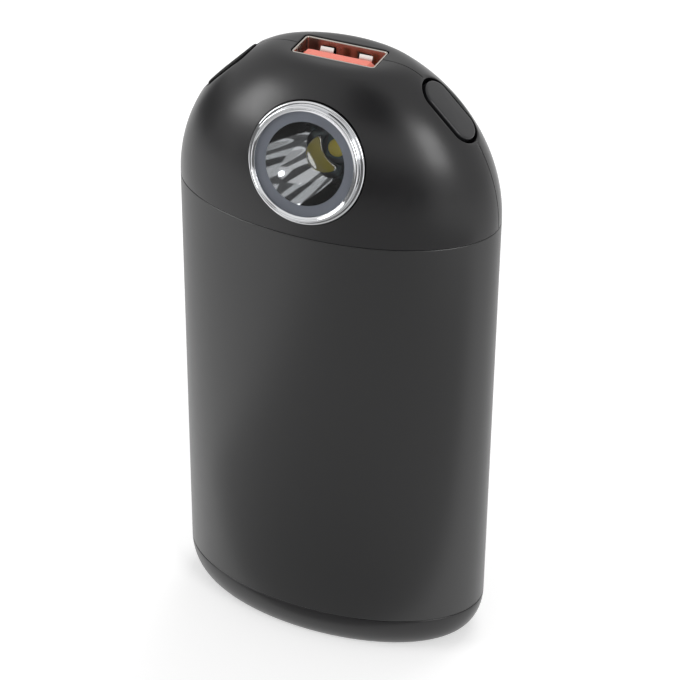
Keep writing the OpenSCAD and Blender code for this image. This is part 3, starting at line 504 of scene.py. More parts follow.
def pocket_rows(hole, turns, body, sockets):
    """Rows of the cover's recess, from under its floor, up the charging socket's slot and out to the recess's wall,
    and the form of the step under the floor."""
    floor, step, lip = -body.facet - sockets.pocket, body.head_wall / 2, hole.lip
    slot = stadium(sockets.input_half_long, sockets.input_half_wide) + sockets.input_gap
    under = hole.form + step
    forms = [
        (*under, floor - step), (*slot, floor - step), (*slot, floor - lip / 2),
        (*slot + lip / 2, floor), (*hole.form - lip, floor), (*hole.form, floor + lip),
    ]
    return pile(hole.seat, turns, forms), under


def build_head(body, torch, sockets, button):
    """The head: one closed moulding with its skin, its openings, its hollow and its skirt."""
    form = HeadForm(body)
    skin = Skin()
    columns_at, degrees = head_columns(form)

    # Angles of the rows: close together where the land meets the arch, then even to the seam
    above, below = -2.6, 5.2
    crease = form.land_angle + np.radians(np.linspace(above, below, 22))
    last = math.acos(body.edge / form.half[2])
    angles = np.concatenate([crease, np.linspace(crease[-1], last, 46)[1:]])
    share = np.stack([disk(a / QUARTER, columns_at(a)) for a in angles])
    row_degrees = np.degrees(angles)

    keep = np.ones((len(angles) - 1, len(degrees)), bool)
    for hole in head_holes(form, body, torch, button):
        # The quads that the hole's own rings stand in for, and the border round them
        top, bottom = nearest(row_degrees, hole.high), nearest(row_degrees, hole.low)
        first, final = nearest(degrees, hole.left), nearest(degrees, hole.right)
        across = np.arange(first, final + 1 + (len(degrees) if final < first else 0)) % len(degrees)
        down = np.arange(top, bottom + 1)
        keep[np.ix_(down[:-1], across[:-1])] = False
        rows = np.concatenate([across[:-1] * 0 + top, down[:-1], across[:0:-1] * 0 + bottom, down[:0:-1]])
        columns = np.concatenate([across[:-1], down[:-1] * 0 + final, across[:0:-1], down[:0:-1] * 0 + first])
        border = share[rows, columns]
        local = form.skin(border) - hole.seat.origin
        turns = np.arctan2(local @ hole.seat.up, local @ hole.seat.right)

        # Outer ring, from the wall's foot over the opening's rounded edge to the border
        lip_points, edge_share = form.lip_rows(hole.seat, turns, hole.form, hole.lip)
        ring = form.skin(edge_share + (border - edge_share) * steps_out(16)[:, None, None])
        wall, opening = pocket_rows(hole, turns, body, sockets) if hole.pocket else ([], hole.form)
        foot = form.drop(outline(hole.seat, turns, *opening, 0), hole.seat.out, form.inner)
        skin.add(np.stack([foot, *wall, *lip_points, *ring]))

        # Inner ring, straight from the wall's foot to the border's inner side
        inner_border = form.on_arch(border, form.inner)
        skin.add(foot + (inner_border - foot) * np.linspace(0, 1, 4)[:, None, None])

    # Rows from the output socket's opening out to the first full row
    first = disk(1, columns_at(angles[0])) * form.half[:2]
    turns = np.arctan2(first[:, 1], first[:, 0])
    socket_form = np.array([sockets.half_width, sockets.half_depth, sockets.corner]) + sockets.gap
    lip_points, edge_share = form.lip_rows(UPRIGHT, turns, socket_form, sockets.lip)
    ways = steps_out(7)[:-1, None, None]
    skin.add(np.stack([*lip_points, *form.skin(edge_share + (share[0] - edge_share) * ways), form.skin(share[0])]))

    # Main rows, outer and inner, with the openings left out
    outer, inner = form.skin(share), form.on_arch(share, form.inner)
    skin.add(outer, keep=keep)
    skin.add(inner, keep=keep)
    foot = form.drop(outline(UPRIGHT, turns, *socket_form, 0), UPRIGHT.out, form.inner)
    skin.add(np.stack([inner[0], foot, lip_points[0]]))

    # Seam edge, skirt inside the sleeve, and back up to the hollow
    slip = np.array([body.half_width, body.half_depth]) - body.sleeve_wall - body.fit
    hollow = slip - body.slip
    low = body.seam - body.skirt
    rows = [*edge_rows(body, body.seam, 1), (*slip, body.seam), (*slip, low), (*hollow, low), (*hollow, body.seam)]
    skin.add(np.concatenate([outer[-1:], oval_rows(rows, columns_at(angles[-1])), inner[-1:]]))
    return skin


# Materials


def add_node(tree, kind, settings=None, links=None, **values):
    """Adds a node, sets its settings and input values, and links its inputs to other nodes' outputs."""
    node = tree.nodes.new(kind)
    for key, value in (settings or {}).items():
        setattr(node, key, value)
    for key, value in values.items():
        node.inputs[key.replace("_", " ")].default_value = value
    for key, source in (links or {}).items():
        tree.links.new(source, node.inputs[key])
    return node


def finish(name, base, rough, metal, grain, relief, mottle, tone=0.0, **extra):
    """A surface with a fine grain: noise of the real grain size drives bump, roughness and a little tone.

    grain is the grain's size and relief its height. mottle and tone say how far patches 14 grains wide change the
    roughness and the colour.
    """
    material = bpy.data.materials.new(name)
    material.use_nodes = True
    tree = material.node_tree
    shader = next(n for n in tree.nodes if n.type == "BSDF_PRINCIPLED")
    for key, value in {"Base Color": (*base, 1.0), "Roughness": rough, "Metallic": metal, **extra}.items():
        shader.inputs[key.replace("_", " ")].default_value = value
    place = add_node(tree, "ShaderNodeTexCoord").outputs["Object"]
    if relief:
        noise = add_node(
            tree, "ShaderNodeTexNoise", links={"Vector": place}, Scale=1 / grain, Detail=3.0, Roughness=0.6
        )
        bump = add_node(tree, "ShaderNodeBump", links={"Height": noise.outputs[0]}, Strength=1.0, Distance=relief)
        tree.links.new(bump.outputs["Normal"], shader.inputs["Normal"])
    patch = grain * 14
    wide = add_node(tree, "ShaderNodeTexNoise", links={"Vector": place}, Scale=1 / patch, Detail=2.0)
    spread = add_node(
        tree, "ShaderNodeMapRange", links={"Value": wide.outputs[0]}, To_Min=rough - mottle, To_Max=rough + mottle
    )
    tree.links.new(spread.outputs[0], shader.inputs["Roughness"])
    if tone:
        ramp = add_node(tree, "ShaderNodeValToRGB", links={"Fac": wide.outputs[0]})
        for element, change in zip(ramp.color_ramp.elements, (1 - tone, 1 + tone)):
            element.color = (*(min(v * change, 1) for v in base), 1.0)
        tree.links.new(ramp.outputs[0], shader.inputs["Base Color"])
    return material


def anodised_aluminium(look):
    """Anodised aluminium: extruded, bead blasted, dyed black and sealed. The blasting's fine pits blur what it
    mirrors, so the front is soft black and only the flanks turn pale. Pits of 0.08 mm are drawn at 0.16 mm to show."""
    return finish(
        "anodised_aluminium", look.sleeve, 0.34, metal=0, grain=0.16 * MM, relief=0.004 * MM, mottle=0.02, tone=0.05,
        IOR=1.6,
    )


def black_abs(look):
    """ABS, moulded in a spark-eroded tool: an even satin black with a grain that is barely felt."""
    return finish("black_abs", look.head, 0.3, metal=0, grain=0.2 * MM, relief=0.005 * MM, mottle=0.03, tone=0.05)


def button_abs(look):
    """ABS of the button, moulded in a finer tool than the head, so a little smoother and greyer."""
    return finish("button_abs", look.button, 0.38, metal=0, grain=0.15 * MM, relief=0.002 * MM, mottle=0.02)


def bowl_rim_painted_reflection(look):
    """The bowl's flat rim, part of the metallised bowl, in plain grey: a painted reflection that stands in for the dark
    grey surround which this flat mirror reflects.
    """
    return finish("bowl_rim_painted_reflection", look.rim_painted_reflection, 0.5, metal=0.6, grain=0.2 * MM, relief=0.002 * MM, mottle=0.05)


def salmon_tongue(look):
    """Glass-filled nylon, moulded and dyed: satin, a little light passes into its edges."""
    return finish(
        "salmon_tongue", look.tongue, 0.42, metal=0, grain=0.2 * MM, relief=0.003 * MM, mottle=0.04, tone=0.04,
        Subsurface_Weight=0.15, Subsurface_Radius=(1 * MM, 0.4 * MM, 0.3 * MM),
    )


# Plain finishes: colour, roughness, metal, grain and relief in millimetres, and what else they set
TABLE_FINISHES = {
    # Bright chrome plated on moulded ABS: a mirror with faint waves from the moulding
    "chrome_plating": ("#D8D9DB", 0.07, 1, 2.0, 0.004, {"mottle": 0.02, "tone": 0}),
    # Aluminium evaporated in vacuum on a polycarbonate bowl: a bright mirror
    "metallised_bowl": ("#E4E5E6", 0.05, 1, 1.0, 0, {"mottle": 0.02, "tone": 0}),
    # Clear polycarbonate, moulded and polished: water clear with a thin surface gloss
    "clear_lens": ("#FFFFFF", 0.02, 0, 0.5, 0, {"mottle": 0.01, "tone": 0, "Transmission_Weight": 1.0, "IOR": 1.58}),
    # Silicone cast over the diode: clear, faintly yellow and glossy
    "led_silicone": ("#FFFDF3", 0.03, 0, 0.5, 0, {"mottle": 0.01, "tone": 0, "Transmission_Weight": 1.0, "IOR": 1.41}),
    # Steel sheet, pressed and nickel plated: warm grey metal with soft reflections
    "nickel_shell": ("#B9B2AB", 0.26, 1, 0.12, 0.002, {"mottle": 0.06, "tone": 0}),
    # Stainless spring steel, blanked and bent: paler and smoother than the plated shell
    "spring_steel": ("#EDE7E2", 0.24, 1, 0.12, 0.001, {"mottle": 0.04, "tone": 0}),
    # Phosphor bronze with a flash of gold: bright and yellow, worn smooth
    "gold_contacts": ("#E8BE62", 0.22, 1, 0.1, 0, {"tone": 0}),
    # Silicone rubber of the cover, moulded: dull black that mirrors almost nothing
    "black_rubber": ("#080808", 0.7, 0, 0.15, 0.003, {"mottle": 0.03, "tone": 0, "Specular_IOR_Level": 0.08}),
    # Moulded glass-filled nylon: matt grey black
    "torch_nylon": ("#2B2C2E", 0.6, 0, 0.3, 0.006),
    # Aluminium-core board under dark solder resist: smooth and nearly black
    "led_substrate": ("#22282C", 0.5, 0, 0.3, 0.002),
    # Glazed ceramic of the diode's carrier: dense dark teal, slightly glossy
    "led_ceramic": ("#1F3A3C", 0.35, 0, 0.1, 0.001),
    # Phosphor powder set in silicone: saturated matt yellow
    "led_phosphor": ("#E6D33C", 0.6, 0, 0.06, 0.002),
    # Black liquid-crystal polymer of the charging socket, moulded: dull black
    "black_tongue": ("#161617", 0.45, 0, 0.2, 0.003),
    # Glass-fibre board under green solder resist: glossy with a faint weave
    "circuit_board": ("#1E5A34", 0.35, 0, 0.8, 0.004),
    # Pressed ferrite powder: dull charcoal, finely pored
    "ferrite": ("#2E2C2D", 0.75, 0, 0.15, 0.01),
    # Epoxy moulded round the chip: fine matt black
    "chip_epoxy": ("#1B1B1D", 0.6, 0, 0.1, 0.004),
    # Fired ceramic chips with tinned ends: tan and smooth
    "capacitor_ceramic": ("#A98B62", 0.4, 0, 0.2, 0.002),
    # Moulded thermoplastic of the push switch: satin black
    "switch_shell": ("#202022", 0.5, 0, 0.25, 0.004),
    # Moulded nylon of the plunger: milky and waxy
    "plunger_nylon": ("#E2DFD6", 0.42, 0, 0.3, 0.003),
    # Heat-shrink film drawn tight on the cells: glossy with slight waves
    "cell_wrap": ("#2C6FA8", 0.28, 0, 3.0, 0.03),
    # Rolled nickel strip: grey metal with a rolled sheen
    "nickel_strip": ("#B8B4AC", 0.3, 1, 0.3, 0.003),
    # Pressed fish paper: fibrous, dry, pale grey green
    "insulating_card": ("#C9CDBB", 0.8, 0, 0.5, 0.01),
    # Closed-cell foam sheet: pored and dull, its cells drawn at 0.8 mm
    "grey_foam": ("#6A6B6D", 0.95, 0, 0.8, 0.12),
    # Moulded ABS of the cell holder: satin dark grey
    "holder_abs": ("#3A3B3D", 0.5, 0, 0.4, 0.006),
    # Polyimide film with etched tracks: amber and glossy
    "polyimide_film": ("#B4661C", 0.3, 0, 1.2, 0.006),
    # Sealed bead of the thermistor: dark and glossy
    "thermistor_glass": ("#5A2A1C", 0.15, 0, 0.3, 0.001),
    # Silicone rubber insulation, extruded: soft sheen
    "white_insulation": ("#E6E4DE", 0.5, 0, 0.4, 0.004),
    "red_insulation": ("#B3221B", 0.5, 0, 0.4, 0.004),
    "black_insulation": ("#1D1D1E", 0.5, 0, 0.4, 0.004),
    # Steel screws plated with zinc: pale, slightly blue metal
    "zinc_screw": ("#A9AEB2", 0.35, 1, 0.2, 0.003),
}


def table_finish(name):
    """A plain finish from the table."""
    code, rough, metal, grain, relief, *more = TABLE_FINISHES[name]
    extra = {"mottle": 0.05, "tone": 0.06, **(more[0] if more else {})}
    return finish(name, linear(code), rough, float(metal), grain * MM, relief * MM, **extra)


# Operators


class WARMER_OT_sleeve(Operator):
    """Aluminium sleeve: an oval tube with broken edges"""

    bl_idname = "warmer.sleeve"
    bl_label = "Sleeve"

    def execute(self, context):
        body = context.scene.warmer_body
        inner = (body.half_width - body.sleeve_wall, body.half_depth - body.sleeve_wall)
        outside = np.vstack([edge_rows(body, body.cap, 1)[::-1], edge_rows(body, body.seam, -1)])
        rows = np.vstack([outside, [(*inner, body.seam), (*inner, body.cap)], outside[:1]])
        skin = Skin().add(oval_rows(rows, circle_turns(steps=240)))
        look = anodised_aluminium(context.scene.warmer_finishes)
        skin.piece("sleeve", "anodised_aluminium", look, stands_for=["body_sleeve"])
        return {"FINISHED"}


class WARMER_OT_end_cap(Operator):
    """End cap: its half width and half depth grow from the flat bottom as inset (1 - sin a), height c (1 - cos a)"""

    bl_idname = "warmer.end_cap"
    bl_label = "End cap"

    def execute(self, context):
        body = context.scene.warmer_body
        wide, deep = body.half_width, body.half_depth
        rise = np.linspace(0, math.acos(body.edge / body.cap), 22)
        inset, height = 1 - np.sin(rise), body.cap * (1 - np.cos(rise))
        side = np.column_stack([wide - body.cap_in_wide * inset, deep - body.cap_in_deep * inset, height])
        flat = [side[0] * (share, share, 1) for share in (0, 0.3, 0.7, 0.94)]
        lip = np.array([wide, deep]) - body.sleeve_wall - body.fit
        hollow = lip - body.slip
        top = body.cap + body.skirt
        rows = np.vstack([
            flat, side, edge_rows(body, body.cap, -1)[1:],
            [(*lip, body.cap), (*lip, top), (*hollow, top)],
            [(*hollow * share, body.cap_wall) for share in (1, 0.5, 0)],
        ])
        skin = Skin().add(oval_rows(rows, circle_turns(steps=240)))
        skin.piece("end_cap", "black_abs", black_abs(context.scene.warmer_finishes), stands_for=["bottom_cap"])
        return {"FINISHED"}


class WARMER_OT_head(Operator):
    """Domed head: an ellipsoid lowered to the land and to two shoulder planes, with openings and a parting line"""

    bl_idname = "warmer.head"
    bl_label = "Head"

    def execute(self, context):
        scene = context.scene
        skin = build_head(scene.warmer_body, scene.warmer_torch, scene.warmer_sockets, scene.warmer_button)
        skin.piece("head", "black_abs", black_abs(scene.warmer_finishes), stands_for=["dome_front", "dome_rear"])
        return {"FINISHED"}


class WARMER_OT_torch(Operator):
    """Torch: chromed ring, lens, bowl with its flat rim, and the diode's silicone dome, all turned on one axis"""

    bl_idname = "warmer.torch"
    bl_label = "Torch"

    def execute(self, context):
        torch = context.scene.warmer_torch
        seat = torch_seat(context.scene.warmer_body, torch)
        self.ring(seat, torch)
        self.lens(seat, torch)
        self.bowl(seat, torch, context.scene.warmer_finishes)
        self.dome(seat, torch)
        return {"FINISHED"}

    def ring(self, seat, torch):
        """A round bead as the crest, a small ledge down to the mouth and a flange outside, all edges rounded."""
        r, soft = torch.rounding, torch.softness
        front, foot = -torch.lens_front, -torch.step
        ring = np.vstack([
            [(torch.seat, front), (torch.seat, -torch.depth), (torch.collar, -torch.depth)],
            [(torch.collar, -torch.flange), (torch.radius, -torch.flange)],
            arc((torch.radius - r, foot - r), r, 0, 90, 8),
            arc((torch.collar + soft, foot + soft), soft, 270, 180, 4),
            arc((torch.collar - r, -r), r, 0, 165, 18),
            arc((torch.mouth + soft, front + 2 * soft), soft, 80, 180, 5),
            [(torch.mouth, front)],
        ])
        skin = Skin().add(lathe(seat, np.vstack([ring, ring[:1]])))
        skin.piece("bezel", "chrome_plating", stands_for=["torch_bezel"], crease=28)

    def lens(self, seat, torch):
        """A flat disc with chamfered edges, its back the front's mirror image."""
        c, front, back = torch.lens_chamfer, -torch.lens_front, -torch.lens_back
        flat = np.array([0, torch.lens_radius * 0.5, torch.lens_radius - c])
        lens = np.vstack([
            np.column_stack([flat, flat * 0 + front]),
            [(torch.lens_radius, front - c), (torch.lens_radius, back + c)],
            np.column_stack([flat, flat * 0 + back])[::-1],
        ])
        Skin().add(lathe(seat, lens)).piece("lens", "clear_lens", stands_for=["torch_lens"])

    def bowl(self, seat, torch, look):
        """A paraboloid, radius^2 = base^2 + share (mouth^2 - base^2), with a flat rim and a wall."""
        share = np.linspace(0, 1, 40) ** 2
        depth, front, wall = torch.bowl_back - torch.bowl_front, -torch.bowl_front, torch.bowl_wall
        radius = np.sqrt(torch.bowl_base**2 + share * (torch.bowl_mouth**2 - torch.bowl_base**2))
        inside = np.column_stack([radius, -torch.bowl_back + share * depth])
        outside = np.column_stack([radius + wall, -torch.bowl_back + share * (depth - wall)])
        rim = [(torch.lens_radius, front), (torch.lens_radius, front - wall)]
        skin = Skin().add(lathe(seat, np.vstack([inside, rim, outside[::-1], inside[:1]])))
        bowl = skin.piece("bowl", "metallised_bowl", stands_for=["torch_reflector"], crease=30)

        # The rim's front faces, flat and at the rim's height, take the plain grey of painted reflection
        mesh = bowl.data
        mesh.materials.append(bowl_rim_painted_reflection(look))
        normals, centres = np.zeros((2, len(mesh.polygons), 3))
        mesh.polygons.foreach_get("normal", normals.ravel())
        mesh.polygons.foreach_get("center", centres.ravel())
        flat = (normals @ seat.out > 0.99) & ((centres - seat.origin) @ seat.out > front - 0.01 * MM)
        mesh.polygons.foreach_set("material_index", flat.astype(np.int32))

    def dome(self, seat, torch):
        """A half sphere on the diode."""
        dome = np.vstack([arc((0, -torch.dome_base), torch.dome_radius, 90, 0, 16), [(0, -torch.dome_base)]])
        Skin().add(lathe(seat, dome, steps=64)).piece("diode_dome", "led_silicone", stands_for=["led_dome"])


class WARMER_OT_output_socket(Operator):
    """Output socket: pressed shell with leaf springs, tongue with chamfered corners"""

    bl_idname = "warmer.output_socket"
    bl_label = "Output socket"

    def execute(self, context):
        socket = context.scene.warmer_sockets
        top = socket.rim - socket.spring_drop
        low = top - socket.spring_length
        self.shell(socket, low, top)
        self.springs(socket, low)
        self.tongue(socket, context.scene.warmer_finishes)
        return {"FINISHED"}

    def shell(self, socket, low, top):
        """Rounded rectangles piled up the outside, over the half-round rim and down the inside, less the windows."""
        turns = self.shell_turns(socket)
        sheet = socket.sheet
        outer = np.array([socket.half_width, socket.half_depth, socket.corner])
        rounding = sheet / 2
        outside = [(0, socket.base), (0, low), (0, top), (0, socket.rim - rounding)]
        bend = np.linspace(0, math.pi, 9)[1:-1]
        over = [(rounding * (1 - math.cos(a)), socket.rim - rounding * (1 - math.sin(a))) for a in bend]
        path = [*outside, *over, *[(sheet, level) for _, level in outside[::-1]]]
        grid = pile(UPRIGHT, turns, [(*outer - inset, level) for inset, level in path])

        # The windows: columns near the springs on the long sides, between their rows outside and inside
        middles = (grid[0] + np.roll(grid[0], -1, axis=0)) / 2
        window = np.abs(np.abs(middles[:, 0]) - socket.spring_x) < socket.spring_width / 2 + socket.gap
        window &= np.abs(middles[:, 1]) > socket.half_depth - socket.corner / 2
        keep = np.ones((len(path) - 1, len(turns)), bool)
        keep[1, window] = keep[-2, window] = False
        skin = Skin().add(grid, keep=keep)
        for start in np.flatnonzero(window & ~np.roll(window, 1)):
            run = [start]
            while window[run[-1]]:
                run.append((run[-1] + 1) % len(turns))
            frame_out = np.concatenate([grid[1, run], grid[2, run[::-1]]])
            frame_in = np.concatenate([grid[-2, run], grid[-3, run[::-1]]])
            skin.add(np.stack([frame_out, frame_in]))

        # The closed end, outside and inside
        skin.add(pile(UPRIGHT, turns, [(*outer * share, socket.base) for share in (1, 0.5, 0)]))
        level = socket.base + sheet
        steps = [(1, socket.base), (1, level), (0.5, level), (0, level)]
        skin.add(pile(UPRIGHT, turns, [(*(outer - sheet) * share, z) for share, z in steps]))
        skin.piece("output_shell", "nickel_shell", stands_for=["usb_a_shell"])

    def shell_turns(self, socket):
        """Angles of the shell's columns: even ones, one at each side of each window and close ones at the corners."""
        edges = np.array([-1, 1]) * (socket.spring_width / 2 + socket.gap) + socket.spring_x
        x = np.concatenate([-edges, edges])
        marks = np.concatenate([np.arctan2(socket.half_depth, x), np.arctan2(-socket.half_depth, x)])
        corners = math.atan2(socket.half_depth, socket.half_width) + np.radians(np.linspace(-4, 4, 13))
        mirrored = [corners, math.pi - corners, math.pi + corners, 2 * math.pi - corners]
        turns = np.concatenate([circle_turns(steps=120), marks % (2 * math.pi), *mirrored])
        return np.unique(np.round(turns, 7))

    def springs(self, socket, low):
        """Strips that bow into the socket by sin(rise)^1.5 up to the crest and flare out again by fall^1.1 after it."""
        crest, flare, root = 0.7, 0.95, 0.02 * MM
        thickness = socket.sheet * 0.8
        along = np.linspace(0, 1, 28)
        rise, fall = np.clip(along / crest, 0, 1), np.clip((along - crest) / (1 - crest), 0, 1)
        hump = np.sin(rise * QUARTER) ** 1.5 - flare * fall**1.1
        z = low - socket.gap + along * (socket.spring_length - socket.gap * 0.5)
        across = np.linspace(-1, 1, 7) * socket.spring_width / 2
        skin = Skin()
        for wall in (-1, 1):
            face = wall * (socket.half_depth - root - socket.spring_bow * hump)
            for side in (-1, 1):
                x = side * socket.spring_x + across
                front = np.stack(np.broadcast_arrays(x, face[:, None], z[:, None]), axis=-1)
                back = front - np.array([0, wall * thickness, 0])
                closed = np.concatenate([front, back[:, ::-1]], axis=1)
                ends = np.broadcast_to(closed[[0, -1]].mean(axis=1, keepdims=True), (2, *closed.shape[1:]))
                skin.add(np.concatenate([ends[:1], closed, ends[1:]]))
        skin.piece("output_springs", "nickel_shell", table_finish("spring_steel"))

    def tongue(self, socket, look):
        """Rounded rectangles piled from a foot that fills the shell up a plate and in over its chamfered end."""
        half, c, soft, top = socket.tongue_half, socket.tongue_chamfer, socket.tongue_edge, socket.tongue_top
        middle, thick = (socket.tongue_front + socket.tongue_back) / 2, (socket.tongue_back - socket.tongue_front) / 2
        foot = socket.base + socket.sheet
        ledge = foot + socket.tongue_foot
        seat = Seat(np.array([0, middle, 0]), UPRIGHT.right, UPRIGHT.up, UPRIGHT.out)
        turns = circle_turns(steps=160)
        ends = [
            (half, thick, ledge), (half, thick, top - c - soft), (half - soft * 0.3, thick, top - c + soft * 0.5),
            (half - c + soft * 0.5, thick, top - soft * 1.3), (half - c, thick - soft * 0.3, top - soft * 0.3),
            (half - c - soft, thick - soft, top), (half * 0.5, thick * 0.5, top), (0, 1e-9, top),
        ]
        plate = pile(seat, turns, [(w, t, min(soft * 1.5, t), z) for w, t, z in ends])
        play = 0.05 * MM
        block = np.array([socket.half_width, socket.half_depth, socket.corner]) - socket.sheet
        block[:2] -= play
        base = pile(UPRIGHT, turns, [(*block * 0, foot), (*block, foot), (*block, ledge)])
        skin = Skin().add(np.concatenate([base, plate]))
        skin.piece("output_tongue", "salmon_tongue", salmon_tongue(look), stands_for=["usb_a_tongue"])


class WARMER_OT_charging_socket(Operator):
    """Charging socket: a drawn stadium shell with a half-round mouth, and its thin tongue"""

    bl_idname = "warmer.charging_socket"
    bl_label = "Charging socket"

    def execute(self, context):
        socket = context.scene.warmer_sockets
        seat = HeadForm(context.scene.warmer_body).shoulders[-1]
        turns = circle_turns(steps=144)
        sheet, front, back = socket.input_sheet, -socket.input_front, -socket.input_back
        outer = stadium(socket.input_half_long, socket.input_half_wide)
        floor = back + (front - back) / 4
        forms = [(*outer * share, back) for share in (0, 0.5, 1)]
        for a in np.linspace(0, math.pi, 9):
            forms.append((*outer - sheet / 2 * (1 - math.cos(a)), front - sheet / 2 * (1 - math.sin(a))))
        forms += [(*(outer - sheet) * share, floor) for share in (1, 0.5, 0)]
        Skin().add(pile(seat, turns, forms)).piece("charging_shell", "nickel_shell", stands_for=["input_shell"])

        # Tongue: a plate of 0.75 by 0.215 of the shell, with rounded edges at its end, two sheets below the mouth
        half, thick, soft = socket.input_half_long * 0.75, socket.input_half_wide * 0.215, 0.1 * MM
        top = front - 2 * sheet
        ends = [(0, floor, 0), (1, floor, 0), (1, top - soft, 0), (1, top, soft), (0, top, soft)]
        forms = [((half - i) * share, (thick - i) * share, (thick - i) * 0.6 * share, z) for share, z, i in ends]
        Skin().add(pile(seat, turns, forms)).piece("charging_tongue", "black_tongue", stands_for=["input_tongue"])
        return {"FINISHED"}


def crowned_pill(scene, side, lower):
    """A pill on a shoulder: its crowned face, its edge's quarter round and the lower rows of (form, depth).

    The face falls by crown s^2 at a share s of the way out.
    """
    button = scene.warmer_button
    r, low = button.rounding, button.face + button.crown
    flat = stadium(button.half_long, button.half_wide) - r
    rows = [(flat * share, button.face + button.crown * share**2) for share in np.linspace(0, 1, 12)]
    rows += [(flat + r * math.sin(a), low + r * (1 - math.cos(a))) for a in np.linspace(0, QUARTER, 8)[1:]]
    forms = [(*form, -depth) for form, depth in [*rows, *lower]]
    return Skin().add(pile(HeadForm(scene.warmer_body).shoulders[side], circle_turns(steps=168), forms))


class WARMER_OT_socket_cover(Operator):
    """Cover of the charging socket: a crowned pill, height -crown s^2 at a share s of the way out, on a hollow plug"""

    bl_idname = "warmer.socket_cover"
    bl_label = "Socket cover"

    def execute(self, context):
        scene = context.scene
        body, socket, button = scene.warmer_body, scene.warmer_sockets, scene.warmer_button
        full = stadium(button.half_long, button.half_wide)
        plug = stadium(socket.input_half_long, socket.input_half_wide) - socket.input_sheet - socket.plug_fit
        hollow = stadium(socket.plug_half_long, socket.plug_half_wide)
        back = body.facet + socket.pocket - socket.plug_fit
        front, end = socket.input_front, socket.input_front + socket.plug
        lower = [(full, back), (plug, back), (plug, end), (hollow, end), (hollow, front), (hollow * 0, front)]
        crowned_pill(scene, -1, lower).piece("socket_cover", "black_rubber", stands_for=["input_cover"])
        return {"FINISHED"}


class WARMER_OT_button(Operator):
    """Button: a pill with a crowned face, height -crown s^2 at a share s of the way out, on a flange and a stem"""

    bl_idname = "warmer.button"
    bl_label = "Button"

    def execute(self, context):
        scene = context.scene
        button = scene.warmer_button
        full = stadium(button.half_long, button.half_wide)
        flange = full + button.flange_reach
        stem = stadium(button.stem_radius, button.stem_radius)
        top, back, end = button.flange_top, button.flange_back, button.stem_back
        lower = [(full, top), (flange, top), (flange, back), (stem, back), (stem, end), (stem * 0, end)]
        look = button_abs(scene.warmer_finishes)
        crowned_pill(scene, 1, lower).piece("button", "grey_black_abs", look, "button", stands_for=["button_cap"])
        return {"FINISHED"}


class WARMER_OT_inner_pieces(Operator):
    """Finishes of the pieces that keep their CAD mesh"""

    bl_idname = "warmer.inner_pieces"
    bl_label = "Inner pieces"

    def execute(self, context):
        made = {}
        slots = {part["node"]: part["material_slot"] for part in frame["record"]["subparts"]}
        for name, obj in frame["nodes"].items():
            if obj.hide_render:
                continue
            slot = slots[name]
            if slot not in made:
                made[slot] = table_finish(slot)
            obj.data.materials.clear()
            obj.data.materials.append(made[slot])
        return {"FINISHED"}


